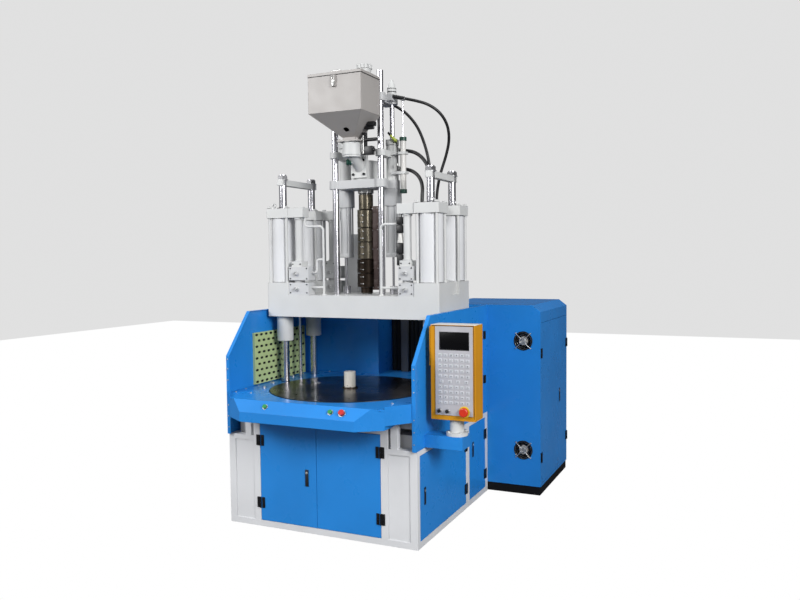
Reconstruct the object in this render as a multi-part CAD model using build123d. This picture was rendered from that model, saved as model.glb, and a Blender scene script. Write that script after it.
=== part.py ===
from build123d import *
import os
from math import cos, degrees, hypot, pi, radians, sin, tan

# Vertical rotary table injection moulding machine, in millimetres.
# X runs to the right, Y to the back and Z up. The origin is on the floor, under the middle of the base.

# Clearances
SLIDE_FIT = 0.05
REST_GAP = 0.2
SHEET = 3

# Base
BASE_HALF_WIDTH = 743
BASE_HALF_DEPTH = 720
BASE_HEIGHT = 650
POST_WIDTH = 53
CORNER_POST_DEPTH = 40
BOTTOM_RAIL = 43
TOP_RAIL = 35
FLOOR_PLATE = 10
TOP_PLATE = 15
FRONT_BAY_HALF = 478
INNER_POST_WIDTH = 52
FRONT_DOOR_TOP = 741
FRONT_HEADER = 50
FRONT_SEAM_X = -15
SIDE_POST_START = 205
SIDE_POST_END = 280
DECK_POST_X = 576
DECK_POST_WIDTH = 48

# Doors and hinges
DOOR_GAP = 3
DOOR_DEPTH = 20
HINGE_HEIGHT = 76
HINGE_LEAF = 31
HINGE_LEAF_THICK = 4
HINGE_KNUCKLE_R = 6
HINGE_PIN_R = 2.5
LOCK_HEIGHT = 117
LOCK_WIDTH = 26
LOCK_THICK = 5
LOCK_INSET = 75

# Lower platen
LOWER_PLATEN_HALF_WIDTH = 700
LOWER_PLATEN_FRONT = -640
LOWER_PLATEN_REAR = 470
LOWER_FLANGE = 85
NECK_HEIGHT = 40
UPPER_FLANGE = 105
NECK_INSET = 140

# Rotary table
TABLE_Y = -247
TABLE_R = 585
TABLE_THICK = 50
TABLE_POST_R = 42.5
TABLE_POST_HEIGHT = 120
SPINDLE_R = 60
SPINDLE_STUB_R = 25
SPINDLE_STUB = 90
BEARING_R = 385
BEARING_BORE = 320
BEARING_HEIGHT = 23
STATION_SPACING_X = 420
STATION_SPACING_Y = 220
MOULD_HOLE_R = 8
MOULD_HOLE_DEPTH = 35

# Tie bars and clamp cylinders
TIE_X = 618
TIE_FRONT_Y = -150
TIE_REAR_Y = 275
TIE_R = 29
TIE_BELOW = 90
NUT_R = 46
NUT_HEIGHT = 50
TOP_NUT_R = 40
TOP_NUT_HEIGHT = 30
CROSS_BAR_TOP = 2518
CROSS_BAR_HEIGHT = 45
CROSS_BAR_WIDTH = 52
CROSS_BAR_OVERHANG = 45
CLAMP_STROKE = 250
BARREL_R = 88
PISTON_R = 76
PISTON_HEIGHT = 50
PISTON_REST = 30
CAP_SIZE = 190
BARREL_SPARE = 163
CAP_HEIGHT = 73
CAP_LUG_INNER_X = 390
CAP_LUG_WIDTH = 90
STAY_OFFSET = 75
STAY_R = 11
STAY_NUT_R = 17
STAY_NUT_HEIGHT = 16
SLEEVE_R = 63
SLEEVE_LENGTH = 195

# Upper platen
PLATEN_HALF_WIDTH = 712
PLATEN_FRONT = -245
PLATEN_REAR = 377
PLATEN_BOTTOM = 1467
PLATEN_WEB = 165
PLATEN_HEIGHT = 260
TROUGH_HALF_WIDTH = 517
POCKET_FRONT = 10
POCKET_REAR = 170
POCKET_DEPTH = 22
LOCATING_R = 50
LOCATING_DEPTH = 20
NOZZLE_HOLE_R = 40

# Rapid traverse cylinders
RAPID_Y = 62.5
RAPID_ROD_R = 14
RAPID_R = 32
RAPID_BORE = 25
RAPID_TOP = 2205
RAPID_PISTON = 30

# Valve blocks and oil columns
BLOCK_INNER_LEFT = 345
BLOCK_INNER_RIGHT = 400
BLOCK_DEPTH = 105
BLOCK_LOWER_TOP = 1727
BLOCK_UPPER_BOTTOM = 1745
BLOCK_UPPER_TOP = 1846
OIL_COLUMN_X = 452
LUG_INSET = 55
OIL_COLUMN_R = 29
OIL_COLUMN_FOOT = 44
OIL_COLUMN_FOOT_HEIGHT = 42
MANIFOLD_BLOCK_X = (-312, -190)
MANIFOLD_BLOCK_Y = (270, 374)
MANIFOLD_BLOCK_SEAM = 1811
MANIFOLD_BLOCK_TOP = 2100
PIPE_R = 9
DOWN_PIPE_X = 240
CROSSOVER_Z = 2150
PIPE_BEND = 34

# Injection unit
SCREW_Y = 50
COLUMN_X = 192
COLUMN_Y = -75
COLUMN_R = 24
COLUMN_ABOVE = 163
COLUMN_SEAT = 32
CYLINDER_X = 203
CYLINDER_Y = 103
CARRIAGE_STROKE = 60
CARRIAGE_BOTTOM = 2430
CARRIAGE_TOP = 2492
COLUMN_RING_R = 46
CYLINDER_BOSS_R = 55
CARRIAGE_CYLINDER_R = 42
CARRIAGE_CYLINDER_BORE = 32
CARRIAGE_CYLINDER_WALL = 20
CARRIAGE_CYLINDER_TOP_WALL = 12
CARRIAGE_PISTON = 25
CARRIAGE_SPARE_TOP = 80
CARRIAGE_SPARE_BOTTOM = 186
COLLAR_BOTTOM = 2297
COLLAR_R = 50
CARRIAGE_ROD_R = 9
CARRIAGE_FOOT_R = 30
CARRIAGE_FOOT_HEIGHT = 58
INJECTION_STROKE = 150
INJECTION_CYLINDER_R = 46
INJECTION_CYLINDER_BORE = 36
INJECTION_CYLINDER_TOP = 2797
INJECTION_ROD_R = 18
BRACKET_BOTTOM = 2660
BRACKET_HEIGHT = 47
CROSSHEAD_BOTTOM = 3061
CROSSHEAD_HEIGHT = 58
SCREW_R = 22.4
SCREW_CORE_R = 14
SCREW_SHAFT_R = 18
SCREW_PITCH = 45
SCREW_TIP = 1825
PLASTIC_BARREL_R = 45
PLASTIC_BARREL_BORE = 22.5
PLASTIC_BARREL_BOTTOM = 1640
PLASTIC_BARREL_TOP = 2632
NOZZLE_TIP = 1500
NOZZLE_R = 16
BAND_EDGES = (1685, 1793, 1900, 2031, 2138, 2276, 2392)
BAND_RADII = (71, 71, 66, 66, 66, 54)
BAND_GAP = 5
HEAD_R = 98
HEAD_HEIGHT = 148
THROAT_Y = -163
THROAT_R = 70
THROAT_FLANGE = 172
THROAT_HEIGHT = 119
THROAT_BORE = 38
FEED_BORE = 16
NOZZLE_BORE = 4
MOTOR_R = 52
MOTOR_LOBES = 12
MOTOR_CROWN = 30
ROD_NUT_R = 34
ROD_NUT_HEIGHT = 62
ROD_NUT_POINT = 64
MOTOR_HEIGHT = 253
TRANSDUCER_X = 312
TRANSDUCER_Y = 60
TRANSDUCER_R = 22
TRANSDUCER_BOTTOM = 2390
TRANSDUCER_TOP = 2805

# Hopper
HOPPER_HALF_WIDTH = 212
HOPPER_FRONT = -420
HOPPER_REAR = -122
HOPPER_FUNNEL_HEIGHT = 151
HOPPER_BOX_HEIGHT = 273
HOPPER_NECK = 100
HOPPER_NECK_HEIGHT = 20
HOPPER_FLANGE_THICK = 12
LID_SKIRT = 14
LID_HINGE_HALF = 148
SIGHT_DROP = 105
SIGHT_X = 15
SIGHT_WIDTH = 42
SIGHT_HEIGHT = 24
LATCH_HALF_WIDTH = 14
LATCH_HEIGHT = 80

# Deck and console
DECK_TOP = 950
DECK_HALF_WIDTH = 736
DECK_SHEET = 4
DECK_LEG_X = 650
DECK_LEG_R = 15
DECK_LEG_REAR_Y = 640
CONSOLE_FRONT = -1010
CONSOLE_BACK = -948
CONSOLE_BOTTOM = 815
CONSOLE_CREASE = 882
CONSOLE_TOP = 956
CONSOLE_CORNER_X = 437
CONSOLE_END_X = 597
CONSOLE_END_Y = -900
CONSOLE_REAR = -744
WING_END_X = 714
WING_BOTTOM = 843
WING_TOP = 966
BUTTON_SLOPE_SHARE = 0.52
GREEN_BUTTON_X = 250
RED_BUTTON_X = 334
GREEN_BUTTON_R = 15
RED_BUTTON_R = 20
BUTTON_STEM_R = 8
BUTTON_TRAVEL = 4

# Side guards
GUARD_FRONT = -740
GUARD_REAR = 728
GUARD_FRONT_TOP = 1215
GUARD_SLOPE_END = -478
GUARD_TOP = 1520
GUARD_FLANGE = 27
GUARD_TOP_FLANGE = 22
PERFORATED_FRONT = -417
PERFORATED_REAR = 300
PERFORATED_BOTTOM = 958
PERFORATED_TOP = 1350
PERFORATED_STAND = 17
SLOT_LENGTH = 38
SLOT_HEIGHT = 18
SLOT_COLUMNS = 11
SLOT_ROWS = 9
SLOT_EDGE = 8
REAR_SHEET_Y = 440
REAR_SHEET_END = -100
REAR_SCREEN_Y = 700

# Control panel
PANEL_X = 947
PANEL_FRONT = -600
PANEL_DEPTH = 145
PANEL_WIDTH = 307
PANEL_BOTTOM = 850
PANEL_TOP = 1470
PANEL_WING = 13
PANEL_WING_BOTTOM = 1200
PANEL_CORNER_R = 4
PANEL_WALL = 3
KEYS_BOTTOM = 965
KEYS_TOP = 1275
KEYPAD_THICK = 6
SCREEN_WIDTH = 198
SCREEN_HEIGHT = 112
SCREEN_TOP = 1423
ESTOP_X = 1026
ESTOP_Z = 910
ESTOP_R = 30
ESTOP_TRAVEL = 6
KEY_KNOB_R = 14
ARM_END_X = 1010
ARM_FRONT = -600
ARM_REAR = -455
ARM_BOTTOM = 655
ARM_TOP = 740
SWIVEL_POST_R = 47
SWIVEL_FLANGE_R = 72
SPIGOT_R = 20
SPIGOT = 30

# Electrical cabinet
CABINET_LEFT = 300
CABINET_RIGHT = 1182
CABINET_REAR = 1655
CABINET_TOP = 1521
CABINET_CHAMFER = 68
PLINTH_HEIGHT = 70
PLINTH_INSET = 6
PLINTH_WALL = 40
CABINET_DOOR_BOTTOM = 90
CABINET_DOOR_TOP = 1383
CABINET_DOOR_SEAM = 1292
FAN_X = 1041
FAN_UPPER_Z = 1236
FAN_LOWER_Z = 357
FAN_OPENING_R = 69
FAN_ROTOR_R = 62
FAN_HUB_R = 33
FAN_FRAME = 150
FAN_DEPTH = 38
FAN_AXLE_R = 5
FAN_BLADES = 7
FAN_GUARD_RINGS = (18, 34, 50, 66)
FAN_GUARD_FOOT = 84
RACK_STAND = 120
RACK_BOTTOM = 200
RACK_HEIGHT = 1100
RACK_ROWS = 4
RACK_ROW_PITCH = 270
RACK_UNITS = 6
RACK_UNIT_PITCH = 118

# Tank and pump set in the base
TANK_LEFT = -600
TANK_RIGHT = 560
TANK_FRONT = 300
TANK_REAR = 650
TANK_FEET = 60
TANK_TOP = 520
TANK_FOOT_WIDTH = 60
PUMP_Y = 60
PUMP_Z = 260
PUMP_LEFT = -350
PUMP_MOTOR_R = 130
PUMP_MOTOR_LENGTH = 460
PUMP_BELL_R = 95
PUMP_BELL_LENGTH = 80
PUMP_R = 75
PUMP_LENGTH = 155

# Hoses and the manifold that they end in
SMALL_HOSE_R = 11
LARGE_HOSE_R = 13.5
HOSE_FIT = 0.3
MANIFOLD_LEFT = 435
MANIFOLD_RIGHT = 565
MANIFOLD_FRONT = 35

# Routes of the four hoses, from the injection unit down to the clamp caps.
HOSES = {
    "hose_1": ([
        (330, 60, 3088),
        (412, 84, 3070),
        (500, 130, 3040),
        (568, 190, 2980),
        (597, 256, 2895),
        (584, 316, 2792),
        (544, 344, 2680),
        (502, 346, 2570),
        (478, 338, 2465),
        (468, 330, 2346),
        (468, 330, 2230),
    ], SMALL_HOSE_R),
    "hose_2": ([
        (172, 168, 3078),
        (245, 166, 3040),
        (322, 162, 2975),
        (391, 156, 2888),
        (439, 150, 2785),
        (474, 146, 2675),
        (494, 143, 2565),
        (503, 141, 2455),
        (502, 142, 2346),
        (502, 142, 2230),
    ], SMALL_HOSE_R),
    "hose_3": ([
        (262, 118, 2716),
        (330, 118, 2712),
        (400, 116, 2688),
        (458, 110, 2640),
        (500, 102, 2572),
        (524, 92, 2490),
        (533, 80, 2400),
        (535, 74, 2333),
        (535, 74, 2273),
    ], LARGE_HOSE_R),
    "hose_4": ([
        (262, 118, 2580),
        (325, 115, 2573),
        (389, 108, 2544),
        (437, 93, 2495),
        (462, 75, 2431),
        (461, 62, 2345),
        (461, 62, 2273),
    ], LARGE_HOSE_R),
}

tie_ys = (TIE_FRONT_Y, TIE_REAR_Y)
tie_places = [(sx * TIE_X, y) for sx in (-1, 1) for y in tie_ys]
lower_platen_top = BASE_HEIGHT + LOWER_FLANGE + NECK_HEIGHT + UPPER_FLANGE
table_bottom = lower_platen_top + BEARING_HEIGHT + REST_GAP
table_top = table_bottom + TABLE_THICK
platen_web_top = PLATEN_BOTTOM + PLATEN_WEB
platen_top = PLATEN_BOTTOM + PLATEN_HEIGHT
cap_bottom = platen_top + PISTON_REST + PISTON_HEIGHT + CLAMP_STROKE + BARREL_SPARE
cap_top = cap_bottom + CAP_HEIGHT
crosshead_top = CROSSHEAD_BOTTOM + CROSSHEAD_HEIGHT
column_top = crosshead_top + COLUMN_ABOVE
motor_top = crosshead_top + MOTOR_HEIGHT
head_top = CARRIAGE_TOP + HEAD_HEIGHT
throat_top = head_top + THROAT_HEIGHT
hopper_flange_top = throat_top + HOPPER_FLANGE_THICK
hopper_neck_top = hopper_flange_top + HOPPER_NECK_HEIGHT
hopper_box_bottom = hopper_neck_top + HOPPER_FUNNEL_HEIGHT
hopper_top = hopper_box_bottom + HOPPER_BOX_HEIGHT
post_top = ARM_TOP


def block(x0, x1, y0, y1, z0, z1):
    """A rectangular block between two corners."""
    middle = Pos((x0 + x1) / 2, (y0 + y1) / 2, (z0 + z1) / 2)
    return middle * Box(abs(x1 - x0), abs(y1 - y0), abs(z1 - z0))


def rod(x, y, z0, z1, radius):
    """An upright round bar."""
    return Pos(x, y, (z0 + z1) / 2) * Cylinder(radius, z1 - z0)


def tube(x, y, z0, z1, radius, bore):
    """An upright round tube."""
    return rod(x, y, z0, z1, radius) - rod(x, y, z0 - 1, z1 + 1, bore)


def bar(start, end, radius):
    """A round bar between two points."""
    run = Vector(*end) - Vector(*start)
    return extrude(Plane(origin=start, z_dir=run) * Circle(radius), run.length)


def hexagon(x, y, z0, z1, radius):
    """An upright hexagonal prism, by the radius of its corners."""
    return extrude(Pos(x, y, z0) * RegularPolygon(radius, 6), z1 - z0)


def prism_along_x(points, x0, x1):
    """A profile in Y and Z, drawn out along X."""
    face = make_face(Polyline(*[(x0, y, z) for y, z in points], close=True))
    return extrude(face, x1 - x0, dir=(1, 0, 0))


def prism_upwards(points, z0, z1):
    """A plan outline in X and Y, drawn out upwards."""
    face = make_face(Polyline(*[(x, y, z0) for x, y in points], close=True))
    return extrude(face, z1 - z0, dir=(0, 0, 1))


def mirrored(shape):
    """The same shape on the other side of the machine."""
    return mirror(shape, Plane.YZ)


def joined(shapes):
    """Shapes welded into one."""
    whole = shapes[0]
    for shape in shapes[1:]:
        whole = whole + shape
    return whole


def bent_pipe(points, radius, bends):
    """A round pipe along straight runs with tangent arcs at its corners."""
    path = FilletPolyline(*points, radius=bends)
    return sweep(Plane(origin=path @ 0, z_dir=path % 0) * Circle(radius), path=path)


def save(shape, node):
    """Write one piece."""
    export_step(shape, f"parts/{node}.step")


def save_group(shapes, node):
    """Write several separate like pieces as one node."""
    save(Compound(children=[solid for shape in shapes for solid in shape.solids()]), node)


# Doors are drawn closed at the origin, facing minus Y, with the hinge edge at X 0 and the width along X.

def hinge_knuckle(z0, z1, radius):
    """Half of a hinge's knuckle, round the hinge axis."""
    return rod(-DOOR_GAP / 2, -HINGE_KNUCKLE_R, z0, z1, radius)


def hinge_moving_leaf(z):
    """The leaf on the door: its knuckle is the upper half, and turns on the pin."""
    top = z + HINGE_HEIGHT / 2
    bottom = z - HINGE_HEIGHT / 2
    leaf = block(-DOOR_GAP / 2 + 0.5, HINGE_LEAF, -HINGE_LEAF_THICK, 0, bottom, top)
    leaf -= hinge_knuckle(bottom - 1, z + REST_GAP, HINGE_KNUCKLE_R + 0.4)
    leaf += hinge_knuckle(z + REST_GAP, top, HINGE_KNUCKLE_R)
    return leaf - hinge_knuckle(z, top + 1, HINGE_PIN_R + SLIDE_FIT)


def hinge_fixed_leaf(z, width):
    """The leaf on the frame, with the lower half of the knuckle and the pin."""
    top = z + HINGE_HEIGHT / 2
    bottom = z - HINGE_HEIGHT / 2
    leaf = block(-width, -DOOR_GAP / 2 - 0.5, -HINGE_LEAF_THICK, 0, bottom, top)
    leaf -= hinge_knuckle(z, top + 1, HINGE_KNUCKLE_R + 0.4)
    leaf += hinge_knuckle(bottom, z, HINGE_KNUCKLE_R)
    return leaf + hinge_knuckle(bottom, top - 1, HINGE_PIN_R)


def door_pan(width, z0, z1, hinge_heights, lock_z=None):
    """A sheet door with folded edges, its two hinge leaves and its lock body."""
    outside = block(0, width, 0, DOOR_DEPTH, z0, z1)
    door = outside - block(SHEET, width - SHEET, SHEET, DOOR_DEPTH + 1, z0 + SHEET, z1 - SHEET)
    for z in hinge_heights:
        door += hinge_moving_leaf(z)
    if lock_z is not None:
        lock_x = width - LOCK_INSET
        half = LOCK_HEIGHT / 2
        side = LOCK_WIDTH / 2
        door += block(lock_x - side, lock_x + side, -LOCK_THICK, 1, lock_z - half, lock_z + half)
    return door


front_face = -BASE_HALF_DEPTH
side_face = BASE_HALF_WIDTH
cabinet_face = CABINET_RIGHT
front_hinges = (173, 622)
side_hinges = (155, 480)
cabinet_hinges = (303, 1140)
front_left_hinge_x = -FRONT_BAY_HALF + DOOR_GAP
front_right_hinge_x = FRONT_BAY_HALF - DOOR_GAP
side_front_hinge_y = SIDE_POST_START - DOOR_GAP
side_rear_hinge_y = BASE_HALF_DEPTH - 60 - DOOR_GAP
cabinet_front_hinge_y = GUARD_REAR + 18 + DOOR_GAP
cabinet_rear_hinge_y = CABINET_REAR - 18 - DOOR_GAP


def on_front(shape, hinge_x, flipped):
    """Place a door drawing on the front of the base."""
    shape = mirrored(shape) if flipped else shape
    return Pos(hinge_x, front_face, 0) * shape


def on_right(shape, face_x, hinge_y, flipped):
    """Place a door drawing on a face that looks along plus X."""
    shape = mirrored(shape) if flipped else shape
    return Pos(face_x, hinge_y, 0) * (Rot(0, 0, 90) * shape)


def make_doors():
    """The six doors and the fixed halves of their hinges."""
    low = BOTTOM_RAIL + DOOR_GAP
    side_top = BASE_HEIGHT - TOP_RAIL - DOOR_GAP
    left_width = FRONT_SEAM_X - DOOR_GAP / 2 - front_left_hinge_x
    right_width = front_right_hinge_x - FRONT_SEAM_X - DOOR_GAP / 2
    left = door_pan(left_width, low, FRONT_DOOR_TOP, front_hinges, 389)
    right = door_pan(right_width, low, FRONT_DOOR_TOP, front_hinges)
    save(on_front(left, front_left_hinge_x, False), "front_door_left")
    save(on_front(right, front_right_hinge_x, True), "front_door_right")
    side_start = -BASE_HALF_DEPTH + CORNER_POST_DEPTH + DOOR_GAP
    first = door_pan(side_front_hinge_y - side_start, low, side_top, side_hinges, 330)
    second = door_pan(side_rear_hinge_y - SIDE_POST_END - DOOR_GAP, low, side_top, side_hinges, 420)
    save(on_right(first, side_face, side_front_hinge_y, True), "side_door_front")
    save(on_right(second, side_face, side_rear_hinge_y, True), "side_door_rear")
    cab_top = CABINET_DOOR_TOP - DOOR_GAP
    cab_low = CABINET_DOOR_BOTTOM + DOOR_GAP
    cab_first = CABINET_DOOR_SEAM - DOOR_GAP / 2 - cabinet_front_hinge_y
    cab_second = cabinet_rear_hinge_y - CABINET_DOOR_SEAM - DOOR_GAP / 2
    front_leaf = door_pan(cab_first, cab_low, cab_top, cabinet_hinges)
    rear_leaf = door_pan(cab_second, cab_low, cab_top, cabinet_hinges, 712)
    save(on_right(front_leaf, cabinet_face, cabinet_front_hinge_y, False), "cabinet_door_front")
    save(on_right(rear_leaf, cabinet_face, cabinet_rear_hinge_y, True), "cabinet_door_rear")
    fixed = []
    for z in front_hinges:
        leaf = hinge_fixed_leaf(z, HINGE_LEAF)
        fixed.append(on_front(leaf, front_left_hinge_x, False))
        fixed.append(on_front(leaf, front_right_hinge_x, True))
    for z in side_hinges:
        leaf = hinge_fixed_leaf(z, HINGE_LEAF)
        fixed.append(on_right(leaf, side_face, side_front_hinge_y, True))
        fixed.append(on_right(leaf, side_face, side_rear_hinge_y, True))
    for z in cabinet_hinges:
        leaf = hinge_fixed_leaf(z, 16)
        fixed.append(on_right(leaf, cabinet_face, cabinet_front_hinge_y, False))
        fixed.append(on_right(leaf, cabinet_face, cabinet_rear_hinge_y, True))
    save_group(fixed, "hinge_leaves")


def make_base_frame():
    """Welded frame: floor plate, rails, posts, top plate, closed left side and rear, fixed front panels."""
    x = BASE_HALF_WIDTH
    y = BASE_HALF_DEPTH
    h = BASE_HEIGHT
    inner_x = x - POST_WIDTH
    inner_y = y - POST_WIDTH
    frame = block(-x, x, -y, y, 0, FLOOR_PLATE)
    inside = block(-inner_x, inner_x, -inner_y, inner_y, -1, h + 1)
    frame += block(-x, x, -y, y, 0, BOTTOM_RAIL) - inside
    frame += block(-x, x, -y, y, h - TOP_RAIL, h) - inside
    bay = block(-FRONT_BAY_HALF, FRONT_BAY_HALF, -y - 1, -inner_y, BOTTOM_RAIL, h + 1)
    frame -= bay
    frame += block(-inner_x, inner_x, LOWER_PLATEN_FRONT, inner_y, h - TOP_PLATE, h)
    for side in (-1, 1):
        frame += block(side * inner_x, side * x, -y, -y + CORNER_POST_DEPTH, 0, h)
        frame += block(side * inner_x, side * x, y - 60, y, 0, h)
        frame += block(side * inner_x, side * x, SIDE_POST_START, SIDE_POST_END, 0, h)
        inner_end = FRONT_BAY_HALF + INNER_POST_WIDTH
        header_top = FRONT_DOOR_TOP + DOOR_GAP + FRONT_HEADER
        frame += block(side * FRONT_BAY_HALF, side * inner_end, -y, -inner_y, 0, header_top)
        recess = -y + 6
        frame += block(side * inner_end, side * inner_x, recess, recess + SHEET, BOTTOM_RAIL, h - TOP_RAIL)
        half = DECK_POST_WIDTH / 2
        deck_under = DECK_TOP - DECK_SHEET
        post_x = side * DECK_POST_X
        frame += block(post_x - half, post_x + half, -y, -y + DECK_POST_WIDTH, h, deck_under)
    header_low = FRONT_DOOR_TOP + DOOR_GAP
    frame += block(-FRONT_BAY_HALF, FRONT_BAY_HALF, -y, -inner_y, header_low, header_low + FRONT_HEADER)
    skin_front = -y + CORNER_POST_DEPTH
    frame += block(-x + 3, -x + 3 + SHEET, skin_front, y - 60, BOTTOM_RAIL, h - TOP_RAIL)
    frame += block(-inner_x, inner_x, y - 3 - SHEET, y - 3, BOTTOM_RAIL, h - TOP_RAIL)
    for tie_x, tie_y in tie_places:
        frame -= rod(tie_x, tie_y, h - TOP_PLATE - 1, h + 1, NUT_R + 12)
    frame -= rod(0, TABLE_Y, h - TOP_PLATE - 1, h + 1, 130)
    save(frame, "base_frame")


def make_lower_platen():
    """Cast platen with two flanges and a neck between, bored for the tie bars and the table spindle."""
    x = LOWER_PLATEN_HALF_WIDTH
    low = BASE_HEIGHT
    neck = low + LOWER_FLANGE
    upper = neck + NECK_HEIGHT
    platen = block(-x, x, LOWER_PLATEN_FRONT, LOWER_PLATEN_REAR, low, neck)
    platen += block(-x, x, LOWER_PLATEN_FRONT, LOWER_PLATEN_REAR, upper, lower_platen_top)
    inner = x - NECK_INSET
    platen += block(-inner, inner, LOWER_PLATEN_FRONT + 40, LOWER_PLATEN_REAR - 40, neck, upper)
    for tie_x, tie_y in tie_places:
        platen -= rod(tie_x, tie_y, low - 1, lower_platen_top + 1, TIE_R + SLIDE_FIT)
    for side in (-1, 1):
        seat = rod(side * TIE_X, RAPID_Y, upper + 20, lower_platen_top + 1, RAPID_ROD_R + SLIDE_FIT)
        platen -= seat
    platen -= rod(0, TABLE_Y, low - 1, lower_platen_top + 1, SPINDLE_R + SLIDE_FIT)
    save(platen, "lower_platen")
    bearing_top = lower_platen_top + BEARING_HEIGHT
    save(tube(0, TABLE_Y, lower_platen_top, bearing_top, BEARING_R, BEARING_BORE), "table_bearing")


def make_table():
    """Round table with two mould stations, its post and spindle, and the drive under the platen."""
    disc = rod(0, TABLE_Y, table_bottom, table_top, TABLE_R)
    disc += rod(0, TABLE_Y, table_top, table_top + 8, TABLE_POST_R + 16)
    disc -= rod(0, TABLE_Y, table_bottom - 1, table_top + 9, TABLE_POST_R + SLIDE_FIT)
    reach = SCREW_Y - TABLE_Y
    for station_y in (TABLE_Y - reach, TABLE_Y + reach):
        for sx in (-0.5, 0.5):
            for sy in (-0.5, 0.5):
                hole_x = sx * STATION_SPACING_X
                hole_y = station_y + sy * STATION_SPACING_Y
                disc -= rod(hole_x, hole_y, table_top - MOULD_HOLE_DEPTH, table_top + 1, MOULD_HOLE_R)
    save(disc, "rotary_table")
    spindle = rod(0, TABLE_Y, BASE_HEIGHT + 2, table_bottom, SPINDLE_R)
    spindle += rod(0, TABLE_Y, table_bottom, table_top + TABLE_POST_HEIGHT, TABLE_POST_R)
    spindle += rod(0, TABLE_Y, BASE_HEIGHT + 2 - SPINDLE_STUB, BASE_HEIGHT + 2, SPINDLE_STUB_R)
    for angle in (-90, -30, 30, 150, 210):
        direction = (cos(radians(angle)), sin(radians(angle)))
        foot = (direction[0] * 60, TABLE_Y + direction[1] * 60, table_top + 20)
        spindle -= bar(foot, (0, TABLE_Y, table_top + 20), 4)
    save(spindle, "centre_post")
    top = BASE_HEIGHT
    motor = rod(0, TABLE_Y, top - 16, top, 125)
    motor += rod(0, TABLE_Y, top - 180, top - 16, 95)
    motor += rod(0, TABLE_Y, top - 320, top - 180, 62)
    motor += block(-45, 45, TABLE_Y - 95, TABLE_Y - 40, top - 300, top - 215)
    motor -= rod(0, TABLE_Y, top - SPINDLE_STUB - 4, top + 1, SPINDLE_STUB_R + SLIDE_FIT)
    save(motor, "table_motor")


def make_tie_bars():
    """Four tie bars, each with its clamp piston, their nuts, and the cross bars that tie their tops."""
    bars = []
    nuts = []
    tie_top = CROSS_BAR_TOP + TOP_NUT_HEIGHT + 8
    beam_bottom = CROSS_BAR_TOP - CROSS_BAR_HEIGHT
    for x, y in tie_places:
        tie = rod(x, y, BASE_HEIGHT - TIE_BELOW, tie_top, TIE_R)
        piston_z = platen_top + PISTON_REST
        tie += rod(x, y, piston_z, piston_z + PISTON_HEIGHT, PISTON_R - SLIDE_FIT)
        bars.append(tie)
        lower = hexagon(x, y, BASE_HEIGHT - NUT_HEIGHT, BASE_HEIGHT, NUT_R)
        upper = hexagon(x, y, CROSS_BAR_TOP, CROSS_BAR_TOP + TOP_NUT_HEIGHT, TOP_NUT_R)
        for nut in (lower, upper):
            nuts.append(nut - rod(x, y, BASE_HEIGHT - TIE_BELOW, tie_top, TIE_R + SLIDE_FIT))
    save_group(bars, "tie_bars")
    save_group(nuts, "tie_bar_nuts")
    beams = []
    for side in (-1, 1):
        x0 = side * TIE_X - CROSS_BAR_WIDTH / 2
        y0 = TIE_FRONT_Y - CROSS_BAR_OVERHANG
        y1 = TIE_REAR_Y + CROSS_BAR_OVERHANG
        beam = block(x0, x0 + CROSS_BAR_WIDTH, y0, y1, beam_bottom, CROSS_BAR_TOP)
        beam = chamfer(beam.edges().filter_by(Axis.Z), 6)
        for y in tie_ys:
            beam -= rod(side * TIE_X, y, beam_bottom - 1, CROSS_BAR_TOP + 1, TIE_R + SLIDE_FIT)
        beams.append(beam)
    save_group(beams, "cross_bars")


def make_rapid_cylinders():
    """Rapid traverse cylinders on the moving platen, on rods that stand on the lower platen."""
    rods = []
    cylinders = []
    for side in (-1, 1):
        x = side * TIE_X
        seat = BASE_HEIGHT + LOWER_FLANGE + NECK_HEIGHT + 20
        piston_z = platen_top + 35
        stem = rod(x, RAPID_Y, seat, piston_z + RAPID_PISTON, RAPID_ROD_R)
        rods.append(stem + rod(x, RAPID_Y, piston_z, piston_z + RAPID_PISTON, RAPID_BORE - SLIDE_FIT))
        body = rod(x, RAPID_Y, platen_top, RAPID_TOP, RAPID_R)
        body += rod(x, RAPID_Y, platen_top, platen_top + 18, RAPID_R + 10)
        body += rod(x, RAPID_Y, RAPID_TOP - 30, RAPID_TOP, RAPID_R + 5)
        body -= rod(x, RAPID_Y, platen_top + 20, RAPID_TOP - 20, RAPID_BORE)
        body -= rod(x, RAPID_Y, platen_top - 1, platen_top + 21, RAPID_ROD_R + SLIDE_FIT)
        cylinders.append(body)
    save_group(rods, "rapid_rods")
    save_group(cylinders, "rapid_cylinders")


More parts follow.
